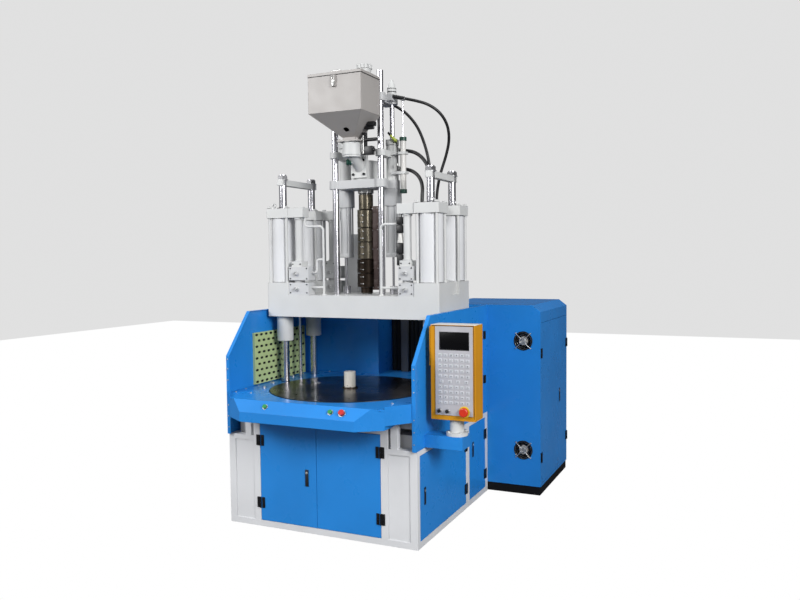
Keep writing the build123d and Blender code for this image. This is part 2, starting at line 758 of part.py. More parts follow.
def make_upper_platen():
    """Moving platen: a web with raised ends that carry the clamp cylinders."""
    x = PLATEN_HALF_WIDTH
    platen = block(-x, x, PLATEN_FRONT, PLATEN_REAR, PLATEN_BOTTOM, platen_top)
    trough = TROUGH_HALF_WIDTH
    platen -= block(-trough, trough, PLATEN_FRONT - 1, PLATEN_REAR + 1, platen_web_top, platen_top + 1)
    platen = chamfer(platen.edges().filter_by(Axis.Z).group_by(Axis.Y)[0], 8)
    for side in (-1, 1):
        pocket_x = side * (x - POCKET_DEPTH)
        platen -= block(pocket_x, side * (x + 1), POCKET_FRONT, POCKET_REAR, platen_web_top, platen_top + 1)
        platen -= rod(side * TIE_X, RAPID_Y, PLATEN_BOTTOM - 1, platen_top + 1, RAPID_ROD_R + SLIDE_FIT)
        seat_z = platen_web_top - COLUMN_SEAT
        platen -= rod(side * COLUMN_X, COLUMN_Y, seat_z, platen_web_top + 1, COLUMN_R + SLIDE_FIT)
    for tie_x, tie_y in tie_places:
        platen -= rod(tie_x, tie_y, PLATEN_BOTTOM - 1, platen_top + 1, TIE_R + SLIDE_FIT)
    platen -= rod(0, SCREW_Y, PLATEN_BOTTOM - 1, PLATEN_BOTTOM + LOCATING_DEPTH, LOCATING_R)
    platen -= rod(0, SCREW_Y, PLATEN_BOTTOM, platen_web_top + 1, NOZZLE_HOLE_R)
    for sx in (-0.5, 0.5):
        for sy in (-0.5, 0.5):
            hole_x = sx * STATION_SPACING_X
            hole_y = SCREW_Y + sy * STATION_SPACING_Y
            platen -= rod(hole_x, hole_y, PLATEN_BOTTOM - 1, PLATEN_BOTTOM + MOULD_HOLE_DEPTH, MOULD_HOLE_R)
    save(platen, "upper_platen")


def make_clamp_cylinders():
    """Barrels, caps with stay rods, and the sleeves under the platen, one set round each tie bar."""
    barrels = []
    caps = []
    sleeves = []
    for x, y in tie_places:
        barrels.append(tube(x, y, platen_top, cap_bottom, BARREL_R, PISTON_R))
        half = CAP_SIZE / 2
        cap = block(x - half, x + half, y - half, y + half, cap_bottom, cap_top)
        cap = chamfer(cap.edges().filter_by(Axis.Z), 6)
        lug_y = lug_centre(y)
        side = 1 if x > 0 else -1
        lug_half = CAP_LUG_WIDTH / 2
        cap += block(side * CAP_LUG_INNER_X, x, lug_y - lug_half, lug_y + lug_half, cap_bottom, cap_top)
        if x > 0 and y == TIE_REAR_Y:
            cap += block(MANIFOLD_LEFT, MANIFOLD_RIGHT, MANIFOLD_FRONT, y - half + 2, cap_bottom, cap_top)
        for sx in (-1, 1):
            for sy in (-1, 1):
                stay_x = x + sx * STAY_OFFSET
                stay_y = y + sy * STAY_OFFSET
                cap += rod(stay_x, stay_y, platen_top, cap_bottom, STAY_R)
                cap += hexagon(stay_x, stay_y, cap_top, cap_top + STAY_NUT_HEIGHT, STAY_NUT_R)
        cap -= rod(x, y, cap_bottom - 1, cap_top + 1, TIE_R + SLIDE_FIT)
        if x > 0 and y == TIE_REAR_Y:
            for route, radius in HOSES.values():
                end_x, end_y, end_z = route[-1]
                cap -= rod(end_x, end_y, end_z, cap_top + 1, radius + HOSE_FIT)
        caps.append(cap)
        sleeve = tube(x, y, PLATEN_BOTTOM - SLEEVE_LENGTH, PLATEN_BOTTOM, SLEEVE_R, TIE_R + SLIDE_FIT)
        sleeves.append(fillet(sleeve.edges().group_by(Axis.Z)[0].sort_by(SortBy.RADIUS)[-1], 6))
    save_group(barrels, "clamp_barrels")
    save_group(caps, "clamp_caps")
    save_group(sleeves, "tie_bar_sleeves")


def lug_centre(tie_y):
    """The Y of a cap's inner lug and its oil column: near the platen's front or rear edge."""
    if tie_y == TIE_FRONT_Y:
        return PLATEN_FRONT + LUG_INSET
    return PLATEN_REAR - LUG_INSET


def make_hoses():
    """The four free hoses: straight runs joined by arcs as large as the runs allow."""
    for node, (route, radius) in HOSES.items():
        points = [Vector(*point) for point in route]
        runs = [b - a for a, b in zip(points, points[1:])]
        bends = []
        for before, after in zip(runs, runs[1:]):
            turn = radians(before.get_angle(after))
            bends.append(0.45 * min(before.length, after.length) / tan(turn / 2))
        path = FilletPolyline(*route, radius=bends)
        hose = sweep(Plane(origin=path @ 0, z_dir=path % 0) * Circle(radius), path=path)
        expected = pi * radius ** 2 * path.length
        print(node, "least bend radius", round(min(bends)), "length", round(path.length), end=" ")
        print("volume over expected", round(hose.volume / expected, 4))
        save(hose, node)


def make_valves():
    """Valve blocks beside the clamp cylinders, their oil columns and the pipes to the carriage."""
    blocks = []
    pipes = []
    for side, inner in ((-1, BLOCK_INNER_LEFT), (1, BLOCK_INNER_RIGHT)):
        for tie_y in tie_ys:
            y = lug_centre(tie_y)
            half = BLOCK_DEPTH / 2
            outer = side * TROUGH_HALF_WIDTH
            stack = block(side * inner, outer, y - half, y + half, platen_web_top, BLOCK_LOWER_TOP)
            stack += block(side * inner, outer, y - half, y + half, BLOCK_UPPER_BOTTOM, BLOCK_UPPER_TOP)
            stack += rod(side * OIL_COLUMN_X, y, BLOCK_LOWER_TOP, BLOCK_UPPER_BOTTOM, OIL_COLUMN_R + 6)
            for z in (BLOCK_LOWER_TOP - 48, BLOCK_UPPER_BOTTOM + 50):
                plug_x = side * OIL_COLUMN_X
                stack += bar((plug_x, y - half - 14, z), (plug_x, y - half, z), 17)
            blocks.append(stack)
            column = rod(side * OIL_COLUMN_X, y, BLOCK_UPPER_TOP, cap_bottom, OIL_COLUMN_R)
            foot = OIL_COLUMN_FOOT
            foot_x = side * OIL_COLUMN_X
            foot_top = BLOCK_UPPER_TOP + OIL_COLUMN_FOOT_HEIGHT
            column += block(foot_x - foot, foot_x + foot, y - foot, y + foot, BLOCK_UPPER_TOP, foot_top)
            column += rod(side * OIL_COLUMN_X, y, cap_bottom - 14, cap_bottom, OIL_COLUMN_R + 8)
            pipes.append(column)
        y = lug_centre(TIE_FRONT_Y)
        top_x = side * (CAP_LUG_INNER_X + PIPE_R + 2)
        down_x = side * DOWN_PIPE_X
        route = [(top_x, y, cap_bottom), (top_x, y, CROSSOVER_Z)]
        route += [(down_x, y, CROSSOVER_Z), (down_x, y, platen_web_top)]
        down = bent_pipe(route, PIPE_R, PIPE_BEND)
        down += rod(down_x, y, platen_web_top, platen_web_top + 10, PIPE_R + 8)
        low_z = BLOCK_LOWER_TOP - 37
        down += bar((side * inner, y, low_z), (down_x, y, low_z), PIPE_R)
        if side < 0:
            mid_x = (side * inner + down_x) / 2 - 6
            bend = [(side * inner, y, BLOCK_UPPER_TOP - 46), (mid_x, y, BLOCK_UPPER_TOP - 46)]
            bend += [(mid_x, y, BLOCK_UPPER_TOP + 54), (down_x, y, BLOCK_UPPER_TOP + 54)]
            down += bent_pipe(bend, PIPE_R, 20)
        pipes.append(down)
    near_x, far_x = MANIFOLD_BLOCK_X
    near_y, far_y = MANIFOLD_BLOCK_Y
    seam = MANIFOLD_BLOCK_SEAM
    rear = block(near_x, far_x, near_y, far_y, platen_web_top, MANIFOLD_BLOCK_TOP)
    rear -= block(near_x - 1, far_x + 1, near_y - 1, near_y + 3, seam, seam + 4)
    blocks.append(rear)
    save_group(blocks, "valve_blocks")
    save_group(pipes, "oil_pipes")


def make_carriage():
    """Carriage plate, its lifting cylinders and the guide columns that both slide on."""
    half_y = 125
    middle_y = (COLUMN_Y - 25 + CYLINDER_Y + 47) / 2
    plate = block(-COLUMN_X, COLUMN_X, middle_y - half_y, middle_y + half_y, CARRIAGE_BOTTOM, CARRIAGE_TOP)
    columns = []
    cylinders = []
    for side in (-1, 1):
        x = side * COLUMN_X
        cx = side * CYLINDER_X
        plate += rod(x, COLUMN_Y, CARRIAGE_BOTTOM, CARRIAGE_TOP, COLUMN_RING_R)
        plate += rod(cx, CYLINDER_Y, CARRIAGE_BOTTOM, CARRIAGE_TOP, CYLINDER_BOSS_R)
        bore_top = COLLAR_BOTTOM - CARRIAGE_CYLINDER_TOP_WALL
        piston_top = bore_top - CARRIAGE_SPARE_TOP
        bore_bottom = piston_top - CARRIAGE_PISTON - CARRIAGE_STROKE - CARRIAGE_SPARE_BOTTOM
        bottom = bore_bottom - CARRIAGE_CYLINDER_WALL
        body = rod(cx, CYLINDER_Y, bottom, COLLAR_BOTTOM, CARRIAGE_CYLINDER_R)
        body += rod(cx, CYLINDER_Y, COLLAR_BOTTOM, CARRIAGE_BOTTOM, COLLAR_R)
        body += rod(cx, CYLINDER_Y, bottom, bottom + 34, CARRIAGE_CYLINDER_R + 4)
        body -= rod(cx, CYLINDER_Y, bore_bottom, bore_top, CARRIAGE_CYLINDER_BORE + SLIDE_FIT)
        body -= rod(cx, CYLINDER_Y, bottom - 1, bore_bottom + 1, CARRIAGE_ROD_R + SLIDE_FIT)
        cylinders.append(body)
        columns.append(rod(x, COLUMN_Y, platen_web_top - COLUMN_SEAT, column_top, COLUMN_R))
        stem = rod(cx, CYLINDER_Y, platen_web_top, piston_top, CARRIAGE_ROD_R)
        stem += rod(cx, CYLINDER_Y, piston_top - CARRIAGE_PISTON, piston_top, CARRIAGE_CYLINDER_BORE)
        stem += rod(cx, CYLINDER_Y, platen_web_top, platen_web_top + CARRIAGE_FOOT_HEIGHT, CARRIAGE_FOOT_R)
        columns.append(stem)
    below = CARRIAGE_BOTTOM - 1
    above = CARRIAGE_TOP + 1
    for side in (-1, 1):
        plate -= rod(side * COLUMN_X, COLUMN_Y, below, above, COLUMN_R + SLIDE_FIT)
    plate -= rod(0, SCREW_Y, below, above, PLASTIC_BARREL_R + SLIDE_FIT)
    save(plate, "carriage_plate")
    save_group(cylinders, "carriage_cylinders")
    save_group(columns, "guide_columns")


def feed_line(start_share, end_share, radius):
    """A round bar along the feed chute, from the throat down to the screw."""
    throat = Vector(0, THROAT_Y, head_top + 40)
    screw = Vector(0, SCREW_Y, head_top - 120)
    run = screw - throat
    return bar(tuple(throat + run * start_share), tuple(throat + run * end_share), radius)


def make_barrel():
    """Plastifying barrel with its nozzle, heater bands, and the head that the hopper feeds."""
    bottom = PLASTIC_BARREL_BOTTOM
    barrel = rod(0, SCREW_Y, bottom, PLASTIC_BARREL_TOP, PLASTIC_BARREL_R)
    barrel += rod(0, SCREW_Y, CARRIAGE_BOTTOM - 30, CARRIAGE_BOTTOM, 60)
    barrel += Pos(0, SCREW_Y, bottom - 20) * Cone(NOZZLE_R, PLASTIC_BARREL_R - 4, 40)
    barrel += rod(0, SCREW_Y, NOZZLE_TIP, bottom - 40, NOZZLE_R)
    barrel -= rod(0, SCREW_Y, bottom + 5, PLASTIC_BARREL_TOP + 1, PLASTIC_BARREL_BORE)
    barrel -= rod(0, SCREW_Y, NOZZLE_TIP - 1, bottom + 6, NOZZLE_BORE)
    barrel -= feed_line(0.5, 0.9, FEED_BORE)
    save(barrel, "barrel")
    bands = []
    edges = BAND_EDGES
    for low, high, radius in zip(edges, edges[1:], BAND_RADII):
        bands.append(rod(0, SCREW_Y, low + BAND_GAP / 2, high - BAND_GAP / 2, radius))
    duct_y = SCREW_Y + 10
    bands.append(block(60, 112, duct_y - 30, duct_y + 30, edges[0] - 20, edges[-2] + 24))
    bands.append(rod(0, SCREW_Y, edges[0], edges[-1], PLASTIC_BARREL_R + 2))
    cover = joined(bands) - rod(0, SCREW_Y, edges[0] - 1, edges[-1] + 1, PLASTIC_BARREL_R + SLIDE_FIT)
    save(cover, "heater_bands")
    head = rod(0, SCREW_Y, CARRIAGE_TOP, head_top, HEAD_R)
    plate_front = SCREW_Y - HEAD_R - 16
    head += block(-65, 65, plate_front, plate_front + 20, CARRIAGE_TOP + 18, head_top + 50)
    for bolt_x in (-45, 45):
        for bolt_z in (CARRIAGE_TOP + 43, head_top + 25):
            head += bar((bolt_x, plate_front - 9, bolt_z), (bolt_x, plate_front, bolt_z), 9)
    head += feed_line(0, 0.6, 45)
    head += rod(0, THROAT_Y, head_top + 10, throat_top, THROAT_R)
    head += rod(0, THROAT_Y, head_top + 24, head_top + 46, THROAT_R + 6)
    head -= rod(0, SCREW_Y, CARRIAGE_TOP - 1, PLASTIC_BARREL_TOP, PLASTIC_BARREL_R + SLIDE_FIT)
    head -= rod(0, SCREW_Y, CARRIAGE_TOP, head_top + 60, SCREW_SHAFT_R + SLIDE_FIT)
    head -= feed_line(0.12, 0.95, FEED_BORE)
    head -= rod(0, THROAT_Y, head_top + 40, throat_top + 1, THROAT_BORE)
    save(head, "barrel_head")


def make_hopper():
    """Sheet hopper on the throat flange, with a hinged lid."""
    middle = (HOPPER_FRONT + HOPPER_REAR) / 2
    depth = HOPPER_REAR - HOPPER_FRONT
    width = 2 * HOPPER_HALF_WIDTH
    neck_z = hopper_neck_top
    wall = 2 * SHEET
    base_z = hopper_box_bottom
    box = block(-width / 2, width / 2, HOPPER_FRONT, HOPPER_REAR, base_z, hopper_top)
    top_outer = Pos(0, middle, base_z) * Rectangle(width, depth)
    low_outer = Pos(0, THROAT_Y, neck_z) * Rectangle(HOPPER_NECK, HOPPER_NECK)
    funnel = loft([low_outer, top_outer])
    top_inner = Pos(0, middle, base_z) * Rectangle(width - wall, depth - wall)
    low_inner = Pos(0, THROAT_Y, neck_z) * Rectangle(HOPPER_NECK - wall, HOPPER_NECK - wall)
    half = HOPPER_NECK / 2
    neck = block(-half, half, THROAT_Y - half, THROAT_Y + half, throat_top, neck_z)
    flange_half = THROAT_FLANGE / 2
    flange_top = hopper_flange_top
    flange = block(-flange_half, flange_half, THROAT_Y - 75, THROAT_Y + 75, throat_top, flange_top)
    hopper = box + funnel + neck + flange
    half_in = width / 2 - SHEET
    hopper -= block(-half_in, half_in, HOPPER_FRONT + SHEET, HOPPER_REAR - SHEET, base_z, hopper_top + 1)
    hopper -= loft([low_inner, top_inner])
    inner = half - SHEET
    hopper -= block(-inner, inner, THROAT_Y - inner, THROAT_Y + inner, throat_top - 1, neck_z)
    for bolt_x in (-72, 72):
        for bolt_y in (-60, 60):
            hopper += hexagon(bolt_x, THROAT_Y + bolt_y, flange_top, flange_top + 8, 9)
    slot_z = base_z - SIGHT_DROP
    sight_plane = Plane(origin=(SIGHT_X, HOPPER_FRONT - 10, slot_z), x_dir=(1, 0, 0), z_dir=(0, 1, 0))
    hopper -= extrude(sight_plane * SlotOverall(SIGHT_WIDTH, SIGHT_HEIGHT), 210)
    latch_top = hopper_top - LID_SKIRT - 5
    latch_half = LATCH_HALF_WIDTH
    latch_low = latch_top - LATCH_HEIGHT
    hopper += block(-latch_half, latch_half, HOPPER_FRONT - 12, HOPPER_FRONT, latch_low, latch_top)
    hinge_y = HOPPER_REAR + 8
    hinge_z = hopper_top + 3
    pin = bar((-LID_HINGE_HALF, hinge_y, hinge_z), (LID_HINGE_HALF, hinge_y, hinge_z), 3)
    for side in (-1, 1):
        inner_x = side * (LID_HINGE_HALF - 50)
        outer_x = side * LID_HINGE_HALF
        hopper += bar((inner_x, hinge_y, hinge_z), (outer_x, hinge_y, hinge_z), 7)
        hopper += block(inner_x, outer_x, HOPPER_REAR, HOPPER_REAR + 8, hopper_top - 26, hinge_z)
    hopper += pin
    save(hopper, "hopper")
    lid_z = hopper_top + 0.3
    out = HOPPER_HALF_WIDTH + 1 + SHEET
    front = HOPPER_FRONT - 1 - SHEET
    rear = HOPPER_REAR - 1
    lid = block(-out, out, front, rear, lid_z - LID_SKIRT, lid_z + 4)
    lid -= block(-out + SHEET, out - SHEET, front + SHEET, rear + 1, lid_z - LID_SKIRT - 1, lid_z)
    knuckle_half = LID_HINGE_HALF - 50 - 1
    lid += block(-knuckle_half, knuckle_half, rear - 1, hinge_y, lid_z, lid_z + 4)
    lid += bar((-knuckle_half, hinge_y, hinge_z), (knuckle_half, hinge_y, hinge_z), 7)
    lid += block(-45, 45, front + 30, front + 42, lid_z + 4, lid_z + 16)
    lid -= bar((-knuckle_half - 1, hinge_y, hinge_z), (knuckle_half + 1, hinge_y, hinge_z), 3 + SLIDE_FIT)
    save(lid, "hopper_lid")


def hose_fitting(node, length):
    """The round fitting that a hose comes out of, in line with its first run."""
    route, radius = HOSES[node]
    start = Vector(*route[0])
    backward = (start - Vector(*route[1])).normalized()
    return bar(tuple(start + backward * length), tuple(start), radius + 3)


def make_injection():
    """Injection cylinders on the carriage, their rods, the crosshead, the screw and its motor."""
    cylinders = []
    rods = []
    bottom = CARRIAGE_TOP
    top = INJECTION_CYLINDER_TOP
    cross_z0 = CROSSHEAD_BOTTOM
    for side in (-1, 1):
        x = side * CYLINDER_X
        body = rod(x, CYLINDER_Y, bottom, top, INJECTION_CYLINDER_R)
        body += rod(x, CYLINDER_Y, top - 40, top, INJECTION_CYLINDER_R + 4)
        column_x = side * COLUMN_X
        bracket_top = BRACKET_BOTTOM + BRACKET_HEIGHT
        body += rod(column_x, COLUMN_Y, BRACKET_BOTTOM, bracket_top, 40)
        body += block(column_x - 30, column_x + 30, COLUMN_Y, CYLINDER_Y, BRACKET_BOTTOM, bracket_top)
        if side > 0:
            for node in ("hose_3", "hose_4"):
                port_x, port_y, port_z = HOSES[node][0][0]
                body += block(x + 20, port_x - 12, port_y - 22, port_y + 22, port_z - 22, port_z + 22)
                body += hose_fitting(node, 24)
            for clamp_z in (bottom + 40, bracket_top - 30):
                right = TRANSDUCER_X + TRANSDUCER_R + 8
                half = TRANSDUCER_R + 6
                clamp_y = TRANSDUCER_Y
                body += block(x + 20, right, clamp_y - half, clamp_y + half, clamp_z, clamp_z + 20)
            body -= rod(TRANSDUCER_X, TRANSDUCER_Y, bottom, top, TRANSDUCER_R + SLIDE_FIT)
        body -= rod(x, CYLINDER_Y, bottom + 15, top - 15, INJECTION_CYLINDER_BORE + SLIDE_FIT)
        body -= rod(x, CYLINDER_Y, top - 16, top + 1, INJECTION_ROD_R + SLIDE_FIT)
        body -= rod(column_x, COLUMN_Y, bottom, top, COLUMN_R + SLIDE_FIT)
        cylinders.append(body)
        piston_z = top - 15 - 47
        stem = rod(x, CYLINDER_Y, piston_z, crosshead_top + 30, INJECTION_ROD_R)
        stem += rod(x, CYLINDER_Y, piston_z, piston_z + 30, INJECTION_CYLINDER_BORE)
        nut_top = crosshead_top + ROD_NUT_HEIGHT
        stem += rod(x, CYLINDER_Y, crosshead_top, nut_top, ROD_NUT_R)
        stem += Pos(x, CYLINDER_Y, nut_top + ROD_NUT_POINT / 2) * Cone(ROD_NUT_R, 10, ROD_NUT_POINT)
        rods.append(stem)
    sensor_top = HOSES["hose_1"][0][0][2] - 8
    rods.append(rod(TRANSDUCER_X, TRANSDUCER_Y, TRANSDUCER_BOTTOM + INJECTION_STROKE + 20, sensor_top, 5))
    save_group(cylinders, "injection_cylinders")
    save_group(rods, "injection_rods")
    sensor = rod(TRANSDUCER_X, TRANSDUCER_Y, TRANSDUCER_BOTTOM, TRANSDUCER_TOP, TRANSDUCER_R)
    for cap_z in (TRANSDUCER_BOTTOM, TRANSDUCER_TOP - 28):
        sensor += rod(TRANSDUCER_X, TRANSDUCER_Y, cap_z, cap_z + 28, TRANSDUCER_R + 4)
    sensor -= rod(TRANSDUCER_X, TRANSDUCER_Y, TRANSDUCER_BOTTOM + 8, TRANSDUCER_TOP + 1, 5 + SLIDE_FIT)
    save(sensor, "transducer")
    head = block(-CYLINDER_X, CYLINDER_X, COLUMN_Y + 15, CYLINDER_Y + 17, cross_z0, crosshead_top)
    for side in (-1, 1):
        head += rod(side * COLUMN_X, COLUMN_Y, cross_z0, crosshead_top, 40)
        head += rod(side * CYLINDER_X, CYLINDER_Y, cross_z0, crosshead_top, 45)
    head += hose_fitting("hose_1", 110)
    head += block(200, 246, 4, 66, cross_z0 + 14, crosshead_top)
    hold = Pos(TRANSDUCER_X, TRANSDUCER_Y, sensor_top - 2) * Box(24, 24, 12)
    head += hold
    second_start = HOSES["hose_2"][0][0]
    end_x = second_start[0] - 10
    end_y = second_start[1] + 18
    head += block(110, end_x, CYLINDER_Y + 10, end_y, cross_z0, crosshead_top - 12)
    head += hose_fitting("hose_2", 26)
    below = cross_z0 - 1
    above = crosshead_top + 1
    for side in (-1, 1):
        head -= rod(side * COLUMN_X, COLUMN_Y, below, above, COLUMN_R + SLIDE_FIT)
        head -= rod(side * CYLINDER_X, CYLINDER_Y, below, above, INJECTION_ROD_R + SLIDE_FIT)
    head -= rod(0, SCREW_Y, below, above, SCREW_SHAFT_R + SLIDE_FIT)
    head -= rod(TRANSDUCER_X, TRANSDUCER_Y, sensor_top - 20, sensor_top, 5 + SLIDE_FIT)
    save(head, "crosshead")
    shaft_top = crosshead_top + 61
    screw = rod(0, SCREW_Y, CARRIAGE_TOP, shaft_top, SCREW_SHAFT_R)
    screw += rod(0, SCREW_Y, SCREW_TIP, CARRIAGE_TOP, SCREW_CORE_R)
    screw += Pos(0, SCREW_Y, SCREW_TIP - 12) * Cone(3, SCREW_CORE_R, 24)
    turns = int((CARRIAGE_TOP - SCREW_TIP) / SCREW_PITCH)
    for turn in range(turns + 1):
        z = SCREW_TIP + turn * SCREW_PITCH
        screw += rod(0, SCREW_Y, z, z + 6, SCREW_R)
    save(screw, "screw")
    motor = rod(0, SCREW_Y, crosshead_top, crosshead_top + 22, 80)
    motor += rod(0, SCREW_Y, crosshead_top + 22, motor_top - 14, MOTOR_R)
    motor += rod(0, SCREW_Y, motor_top - 14, motor_top, MOTOR_R - 16)
    for lobe in range(MOTOR_LOBES):
        angle = radians(360 / MOTOR_LOBES * lobe + 12)
        lobe_x = (MOTOR_R - 2) * cos(angle)
        lobe_y = SCREW_Y + (MOTOR_R - 2) * sin(angle)
        motor += rod(lobe_x, lobe_y, motor_top - 6 - MOTOR_CROWN, motor_top - 6, 12)
    for bolt in range(6):
        angle = radians(60 * bolt)
        bolt_x = 68 * cos(angle)
        bolt_y = SCREW_Y + 68 * sin(angle)
        motor += hexagon(bolt_x, bolt_y, crosshead_top + 22, crosshead_top + 30, 9)
    motor -= rod(0, SCREW_Y, crosshead_top - 1, shaft_top + 2, SCREW_SHAFT_R + SLIDE_FIT)
    save(motor, "screw_motor")


def slope_plane(x, height=0):
    """The plane of the console's sloping face at the buttons, looking outwards."""
    run_y = CONSOLE_BACK - CONSOLE_FRONT
    run_z = CONSOLE_TOP - CONSOLE_CREASE
    length = hypot(run_y, run_z)
    outward = Vector(0, -run_z / length, run_y / length)
    up = BUTTON_SLOPE_SHARE
    middle = Vector(x, CONSOLE_FRONT + up * run_y, CONSOLE_CREASE + up * run_z)
    return Plane(origin=middle + outward * height, x_dir=(1, 0, 0), z_dir=outward)


def deck_outline(inset, front):
    """The plan outline of the deck and console, drawn in by an inset, from a given front line back."""
    end = CONSOLE_END_X - inset
    slope = (CONSOLE_END_Y - CONSOLE_FRONT) / (CONSOLE_END_X - CONSOLE_CORNER_X)
    corner = end - (CONSOLE_END_Y - front) / slope
    right = [(corner, front), (end, CONSOLE_END_Y + inset * 0.3), (end, CONSOLE_REAR)]
    return [(-x, y) for x, y in reversed(right)] + right


def make_deck():
    """Console with the operator buttons, deck plate round the table, infill panels and legs."""
    sheet = DECK_SHEET
    under = DECK_TOP - sheet
    profile = [
        (CONSOLE_FRONT, CONSOLE_BOTTOM),
        (CONSOLE_FRONT, CONSOLE_CREASE),
        (CONSOLE_BACK, CONSOLE_TOP),
        (CONSOLE_BACK + 12, CONSOLE_TOP),
        (CONSOLE_BACK + 12, DECK_TOP),
        (CONSOLE_REAR, DECK_TOP),
        (CONSOLE_REAR, CONSOLE_BOTTOM),
    ]
    inside = [
        (CONSOLE_FRONT + sheet, CONSOLE_BOTTOM - 1),
        (CONSOLE_FRONT + sheet, CONSOLE_CREASE - 1.5),
        (CONSOLE_BACK - 3, under),
        (CONSOLE_REAR + 1, under),
        (CONSOLE_REAR + 1, CONSOLE_BOTTOM - 1),
    ]
    limit = CONSOLE_END_X
    plan = prism_upwards(deck_outline(0, CONSOLE_FRONT), CONSOLE_BOTTOM - 5, CONSOLE_TOP + 5)
    inner_plan = prism_upwards(deck_outline(sheet, CONSOLE_FRONT + 1), CONSOLE_BOTTOM - 5, CONSOLE_TOP + 5)
    console = prism_along_x(profile, -limit, limit) & plan
    console -= prism_along_x(inside, -limit, limit) & inner_plan
    wing_y = GUARD_FRONT - 2
    behind = GUARD_FRONT + sheet + 1
    deck_rear = REAR_SCREEN_Y - SHEET - 1
    right = [(DECK_HALF_WIDTH, deck_rear), (DECK_HALF_WIDTH, behind), (WING_END_X, behind)]
    right += [(WING_END_X, wing_y), (CONSOLE_END_X, CONSOLE_END_Y), (CONSOLE_END_X - 40, CONSOLE_END_Y)]
    deck = prism_upwards(right + [(-x, y) for x, y in reversed(right)], under, DECK_TOP)
    deck += console
    for side in (-1, 1):
        points = [
            (side * CONSOLE_END_X, CONSOLE_END_Y),
            (side * WING_END_X, wing_y),
            (side * WING_END_X, behind),
            (side * (WING_END_X - sheet), behind),
            (side * (WING_END_X - sheet), wing_y + 1),
            (side * (CONSOLE_END_X - 1), CONSOLE_END_Y + sheet),
        ]
        deck += prism_upwards(points, WING_BOTTOM, WING_TOP)
        gusset = [(-BASE_HALF_DEPTH, WING_BOTTOM), (-BASE_HALF_DEPTH, under), (CONSOLE_BACK + 20, under)]
        deck += prism_along_x(gusset, side * (DECK_POST_X - 4), side * (DECK_POST_X + 4))
        for leg_y in (LOWER_PLATEN_FRONT + 80, LOWER_PLATEN_REAR - 70):
            deck += rod(side * DECK_LEG_X, leg_y, lower_platen_top, under, DECK_LEG_R)
        deck += rod(side * DECK_LEG_X, DECK_LEG_REAR_Y, BASE_HEIGHT, under, DECK_LEG_R)
    deck -= rod(0, TABLE_Y, under - 1, DECK_TOP + 1, TABLE_R + 6)
    for x, y in tie_places:
        deck -= rod(x, y, under - 1, DECK_TOP + 1, TIE_R + 11)
    for side in (-1, 1):
        deck -= rod(side * TIE_X, RAPID_Y, under - 1, DECK_TOP + 1, RAPID_ROD_R + 8)
    for x in (-GREEN_BUTTON_X, GREEN_BUTTON_X, RED_BUTTON_X):
        deck -= extrude(slope_plane(x, -20) * Circle(BUTTON_STEM_R + SLIDE_FIT), 40)
    save(deck, "front_deck")
    buttons = (
        ("start_button_left", -GREEN_BUTTON_X, GREEN_BUTTON_R, 10),
        ("start_button_right", GREEN_BUTTON_X, GREEN_BUTTON_R, 10),
        ("stop_button", RED_BUTTON_X, RED_BUTTON_R, 14),
    )
    for node, x, radius, thick in buttons:
        cap = extrude(slope_plane(x, BUTTON_TRAVEL + 2) * Circle(radius), thick)
        cap = fillet(cap.edges().filter_by(GeomType.CIRCLE).sort_by(Axis.Z)[-1], 3)
        cap += extrude(slope_plane(x, -22) * Circle(BUTTON_STEM_R), BUTTON_TRAVEL + 24)
        save(cap, node)


def guard_profile(inset, rear, bottom):
    """The side guard's outline in Y and Z, with its front, slope and top drawn in by an inset."""
    slope = Vector(GUARD_SLOPE_END - GUARD_FRONT, GUARD_TOP - GUARD_FRONT_TOP)
    lean = pi / 2 - radians(slope.get_angle(Vector(1, 0)))
    low = (GUARD_FRONT + inset, GUARD_FRONT_TOP - inset * tan(lean / 2))
    high = (GUARD_SLOPE_END + inset * tan((pi / 2 - lean) / 2), GUARD_TOP - inset)
    return [(GUARD_FRONT + inset, bottom), low, high, (rear, GUARD_TOP - inset), (rear, bottom)]


